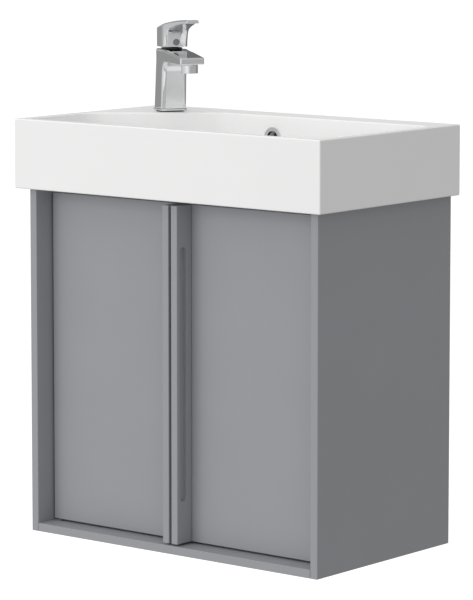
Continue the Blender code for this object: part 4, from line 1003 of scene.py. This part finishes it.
TAP_TURN = math.radians(-30.5)
tap_frame = Matrix.Translation(TAP_PLACE) @ Matrix.Rotation(TAP_TURN, 4, "Z")
FOOT_Z = 0.0049
FOOT_HALF = 0.0210
COLUMN_TOP = 0.100
COLUMN_HALF = 0.02025
COLUMN_EDGE = 0.0068
COLUMN_TOP_EDGE = 0.0036
LEAN = 0.0075
SPOUT_REACH = 0.106
SPOUT_TOP = 0.0910
SPOUT_UNDER = 0.0797
SPOUT_EDGE = 0.0026
SPOUT_FILLET = 0.017
head_frame = tap_frame @ Matrix.Translation((LEAN, 0, 0))


def lean(up):
    """How far the column has come forward at a height."""
    return LEAN * (up - FOOT_Z) / (COLUMN_TOP - FOOT_Z)


def half_width(along, up):
    """Half of the body's width, which narrows a little upwards and towards the spout's end."""
    column = FOOT_HALF + (COLUMN_HALF - FOOT_HALF) * (up - FOOT_Z) / (COLUMN_TOP - FOOT_Z)
    return column - 0.004 * max(along - 0.028, 0.0)


def edge_round(along, up):
    """How far the long edge is rounded over: most on the column, less on the spout and round the top."""
    on_spout = min(max((along - 0.028) / 0.030, 0.0), 1.0)
    on_top = min(max((up - 0.084) / 0.014, 0.0), 1.0)
    round_off = COLUMN_EDGE + (SPOUT_EDGE - COLUMN_EDGE) * on_spout
    return round_off + (COLUMN_TOP_EDGE - round_off) * on_top * (1 - on_spout)


def side_line():
    """The body seen from its side: points with their outward normals, from the foot round to the foot."""
    corners = [
        (FOOT_HALF, FOOT_Z, 0),
        (COLUMN_HALF + lean(SPOUT_UNDER), SPOUT_UNDER, SPOUT_FILLET),
        (SPOUT_REACH, SPOUT_UNDER, 0.0016),
        (SPOUT_REACH, SPOUT_TOP, 0.0026),
        (COLUMN_HALF + LEAN, COLUMN_TOP, 0.010),
        (LEAN - COLUMN_HALF, COLUMN_TOP, COLUMN_TOP_EDGE),
        (-FOOT_HALF, FOOT_Z, 0),
    ]
    coarse = [Vector(point) for point in eased(corners, 12, False)]
    line = []
    for near, far in zip(coarse, coarse[1:]):
        parts = max(int((far - near).length / 0.004), 1)
        line += [near.lerp(far, k / parts) for k in range(parts)]
    line.append(coarse[-1])
    normals = []
    for i in range(len(line)):
        run = (line[min(i + 1, len(line) - 1)] - line[max(i - 1, 0)]).normalized()
        normals.append(Vector((run.y, -run.x)))
    normals[0] = Vector((1, 0))
    normals[-1] = Vector((-1, 0))
    return list(zip(line, normals))


def tap_casting():
    outline = side_line()
    shape = bmesh.new()
    rows = []
    for side, angles in ((-1, range(90, -1, -10)), (1, range(0, 91, 10))):
        for angle in angles:
            turn = math.radians(angle)
            row = []
            for point, normal in outline:
                bend = edge_round(point.x, point.y)
                inner = point - normal * bend * (1 - math.cos(turn))
                across = half_width(point.x, point.y) - bend * (1 - math.sin(turn))
                row.append(shape.verts.new((inner.x, side * across, inner.y)))
            rows.append(row)
    for near, far in zip(rows, rows[1:]):
        for k in range(len(outline) - 1):
            shape.faces.new((near[k], near[k + 1], far[k + 1], far[k]))
    shape.faces.new(rows[0])
    shape.faces.new(rows[-1])
    shape.faces.new([row[0] for row in rows] + [row[-1] for row in reversed(rows)])
    return shape


body = tap_casting()
body = carve(body, post(LEAN, 0, 0.0173, COLUMN_TOP - 0.0083, COLUMN_TOP + 0.01, 96))
chromed("tap_casting", body, "tap_body", tap_frame, crease=30)


# ============ aerator
# A turned brass shell screwed into the underside of the spout, with a moulded flow former in it.

AERATOR_REACH = 0.0925
AERATOR_RADIUS = 0.013
aerator_top = SPOUT_UNDER - 0.0001
aerator_low = aerator_top - 0.014
shell = turned([
    (0.0105, aerator_top - 0.001, 0.0003), (0.0105, aerator_low, 0.0006),
    (AERATOR_RADIUS, aerator_low, 0.0009), (AERATOR_RADIUS, aerator_top - 0.0012, 0.0003),
    (AERATOR_RADIUS - 0.0006, aerator_top, 0.0003),
], 96)
at_aerator = tap_frame @ Matrix.Translation((AERATOR_REACH, 0, 0))
chromed("aerator_shell", shell, "aerator", at_aerator)
former = turned([
    (0, aerator_low + 0.0030, 0), (0.0020, aerator_low + 0.0022, 0.0004),
    (0.0034, aerator_low + 0.0034, 0.0004), (0.0050, aerator_low + 0.0020, 0.0004),
    (0.0066, aerator_low + 0.0034, 0.0004), (0.0082, aerator_low + 0.0020, 0.0004),
    (0.0102, aerator_low + 0.0022, 0.0004), (0.0102, aerator_low + 0.0060, 0.0004),
    (0, aerator_low + 0.0060, 0),
], 64)
put("flow_former", former, grey_nylon, (), at_aerator)


# ============ tap fixing
# A chromed foot plate and a rubber seal lie between the body and the deck. Below it a threaded stud
# draws up a steel clamp plate with a brass nut.

low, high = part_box("tap_base_plate")
PLATE_HALF = 0.023
PLATE_CORNER = 0.008
plate_rings = []
for inset, up in (
    (0.0004, 0.0), (0.0, 0.0004), (0.0, 0.0018), (0.0003, 0.0024), (0.0009, 0.0028), (0.0016, 0.0030),
):
    half = PLATE_HALF - inset
    square = [(x * half, y * half, PLATE_CORNER) for x, y in ((-1, -1), (1, -1), (1, 1), (-1, 1))]
    plate_rings.append([Vector((x, y, low.z - BASIN_TOP + up)) for x, y in eased(square, 12)])
chromed("tap_foot_plate", skin(plate_rings), "tap_base_plate", tap_frame)
dress("tap_gasket", black_rubber, 0.0)

low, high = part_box("tap_stud")
stud_radius = (high.x - low.x) / 2
THREAD = 0.00125
stud_low = low.z - BASIN_TOP
stud_high = high.z - BASIN_TOP
thread = [(0, stud_low, 0), (stud_radius - 0.0009, stud_low, 0)]
turns = int((stud_high - stud_low - 0.002) / THREAD)
for k in range(turns):
    base = stud_low + 0.001 + k * THREAD
    thread += [
        (stud_radius - 0.0006, base, 0),
        (stud_radius, base + THREAD * 0.4, 0),
        (stud_radius, base + THREAD * 0.6, 0),
    ]
thread += [(stud_radius - 0.0009, stud_high, 0), (0, stud_high, 0)]
stud = turned(thread, 32)
put("tap_threaded_stud", stud, zinc_plate, ("tap_stud",), tap_frame, 20)

low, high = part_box("tap_clamp_plate")
clamp_low = low.z - BASIN_TOP
clamp_high = high.z - BASIN_TOP
clamp = sleeve(stud_radius + GAP, 0.0215, clamp_low, clamp_high, 0.0003, 0.0006, 96)
put("tap_clamp", clamp, zinc_plate, ("tap_clamp_plate",), tap_frame)

low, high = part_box("tap_clamp_nut")
nut_low = low.z - BASIN_TOP
nut_high = high.z - BASIN_TOP
hexagon = turned([
    (stud_radius + GAP, nut_low, 0.0004), (0.0062, nut_low, 0), (0.0074, nut_low + 0.0008, 0),
    (0.0074, nut_high - 0.0008, 0), (0.0062, nut_high, 0), (stud_radius + GAP, nut_high, 0.0004),
], 6)
put("tap_fixing_nut", hexagon, yellow_brass, ("tap_clamp_nut",), tap_frame, 25)


# ============ cartridge
# A black moulded collar closes the body's mouth. The core turns in it, and its upright stem carries
# the lever.

black_nylon = finish(
    "black_nylon", (0.018, 0.018, 0.019), 0.42, spread=0.12, patches=80.0, grain=1600.0,
    depth=0.00004, smudge=0.08, smudges=90.0,
)
collar = turned([
    (0.0123, 0.0920, 0.0002), (0.0170, 0.0920, 0.0004), (0.0170, 0.1015, 0.0006),
    (0.0123, 0.1015, 0.0004),
], 96)
put("cartridge_ring", collar, black_nylon, ("cartridge_collar",), head_frame)
core = turned([
    (0, 0.0923, 0), (0.0120, 0.0923, 0.0004), (0.0120, 0.1005, 0.0006), (0.0050, 0.1005, 0.0008),
    (0.0050, 0.1136, 0.0006), (0, 0.1140, 0),
], 64)
for x in (-1, 1):
    flat = block(
        (x * 0.0042 - (0.004 if x < 0 else 0), -0.01, 0.1025),
        (x * 0.0042 + (0.004 if x > 0 else 0), 0.01, 0.1200),
    )
    core = carve(core, flat)
put("cartridge_stem", core, black_nylon, ("cartridge_core",), head_frame, body="tap_core")


# ============ lever
# A chromed cast lever: a block over the cartridge that sweeps up and out into a thin tongue. A small
# round cap in its front covers the grub screw that grips the stem.

LEVER_HALF = 0.021
LEVER_CORNER = 0.012
LEVER_FRONT_HALF = 0.020
LEVER_FRONT_ROUND = 0.0050
LEVER_EDGE = 0.0030
LEVER_LOW = 0.1035
LEVER_REACH = 0.100
LEVER_REAR_TOP = 0.1325
LEVER_FRONT_TOP = 0.1418
LEVER_TIP_TOP = 0.150
TONGUE_THICK = 0.0055
TONGUE_RISE = 0.0165
TIP_HALF = 0.010


def lever_top(along):
    """The top is a shallow curve through the rear, the block's front and the tip."""
    places = (-LEVER_HALF, LEVER_HALF, LEVER_REACH)
    total = 0.0
    for place, height in zip(places, (LEVER_REAR_TOP, LEVER_FRONT_TOP, LEVER_TIP_TOP)):
        weight = height
        for other in places:
            if other != place:
                weight *= (along - other) / (place - other)
        total += weight
    return total


def lever_bottom(along):
    """Level under the block, then steeply up its front and out along the tongue."""
    if along <= LEVER_HALF:
        return LEVER_LOW
    left = 1 - min((along - LEVER_HALF) / (LEVER_REACH - LEVER_HALF), 1.0)
    tip = LEVER_TIP_TOP - TONGUE_THICK
    return tip - TONGUE_RISE * left ** 1.6 - (tip - TONGUE_RISE - LEVER_LOW) * left ** 20


def lever_half(along):
    straight = LEVER_HALF - LEVER_CORNER
    if along < -straight:
        return straight + math.sqrt(max(LEVER_CORNER ** 2 - (along + straight) ** 2, 0.0))
    if along <= LEVER_HALF:
        share = max(along, 0.0) / LEVER_HALF
        return LEVER_HALF - (LEVER_HALF - LEVER_FRONT_HALF) * share * share
    share = (along - LEVER_HALF) / (LEVER_REACH - LEVER_HALF)
    return LEVER_FRONT_HALF + (TIP_HALF - LEVER_FRONT_HALF) * share


def lever_ring(along, tuck=0.0):
    """A section across the lever, rounded at the block's front corners and along the top edges."""
    half = lever_half(along) - tuck
    top = lever_top(along) - tuck
    ring = []
    for k in range(17):
        across = -half * math.cos(math.pi * k / 16)
        over = max(abs(across) - half + LEVER_FRONT_ROUND, 0.0)
        back = LEVER_FRONT_ROUND - math.sqrt(max(LEVER_FRONT_ROUND ** 2 - over * over, 0.0))
        low = lever_bottom(along + back) + tuck
        ring.append(Vector((along, across, min(low, top - 0.0035))))
    edge = min(LEVER_EDGE, half * 0.5)
    for side, angles in ((1, range(0, 91, 15)), (-1, range(90, -1, -15))):
        for angle in angles:
            turn = math.radians(angle)
            ring.append(Vector((
                along, side * (half - edge + edge * math.cos(turn)), top - edge + edge * math.sin(turn),
            )))
    return ring


def lever_casting():
    stations = [-LEVER_HALF * math.cos(math.radians(angle)) for angle in range(3, 90, 6)]
    stations += [LEVER_HALF * k / 8 for k in range(0, 6)]
    rise = LEVER_HALF - LEVER_FRONT_ROUND
    stations += [rise + 0.0135 * k / 40 for k in range(41)]
    start = stations[-1]
    stations += [start + (LEVER_REACH - 0.0008 - start) * k / 26 for k in range(1, 27)]
    rings = [lever_ring(along) for along in stations]
    last = stations[-1]
    for forward, tuck in ((0.0005, 0.0003), (0.0008, 0.0009)):
        rings.append([point + Vector((forward, 0, 0)) for point in lever_ring(last, tuck)])
    return skin(rings)


casting = lever_casting()
cavity = block((-0.010, -0.013, 0.0900), (0.012, 0.013, 0.1235), 0.003)
casting = carve(casting, cavity)
DOT_HEIGHT = 0.111
DOT_RADIUS = 0.00525
dot_front = LEVER_HALF + 0.0008
cap_seat = sleeve(0, DOT_RADIUS + GAP, -0.0003, 0.02, sides=48)
casting = carve(casting, turn_to(cap_seat, (1, 0, 0), (dot_front, 0, DOT_HEIGHT)))
chromed("lever_casting", casting, "tap_lever", head_frame, "tap_handle", 38)

grey_dot = finish(
    "grey_dot", (0.23, 0.235, 0.245), 0.22, spread=0.08, patches=400.0, grain=1500.0, depth=0.00001,
    smudge=0.05, smudges=200.0, coat=0.5,
)
dot = turned([
    (0, 0.0, 0), (DOT_RADIUS, 0.0, 0.0002), (DOT_RADIUS, 0.0013, 0.0003),
    (DOT_RADIUS - 0.0011, 0.0015, 0.0002), (DOT_RADIUS - 0.0015, 0.0009, 0.0002),
    (DOT_RADIUS - 0.0030, 0.0013, 0.0010), (0, 0.0015, 0),
], 64)
put(
    "lever_dot", turn_to(dot, (1, 0, 0), (dot_front, 0, DOT_HEIGHT)), grey_dot,
    ("tap_indicator",), head_frame, body="tap_handle",
)
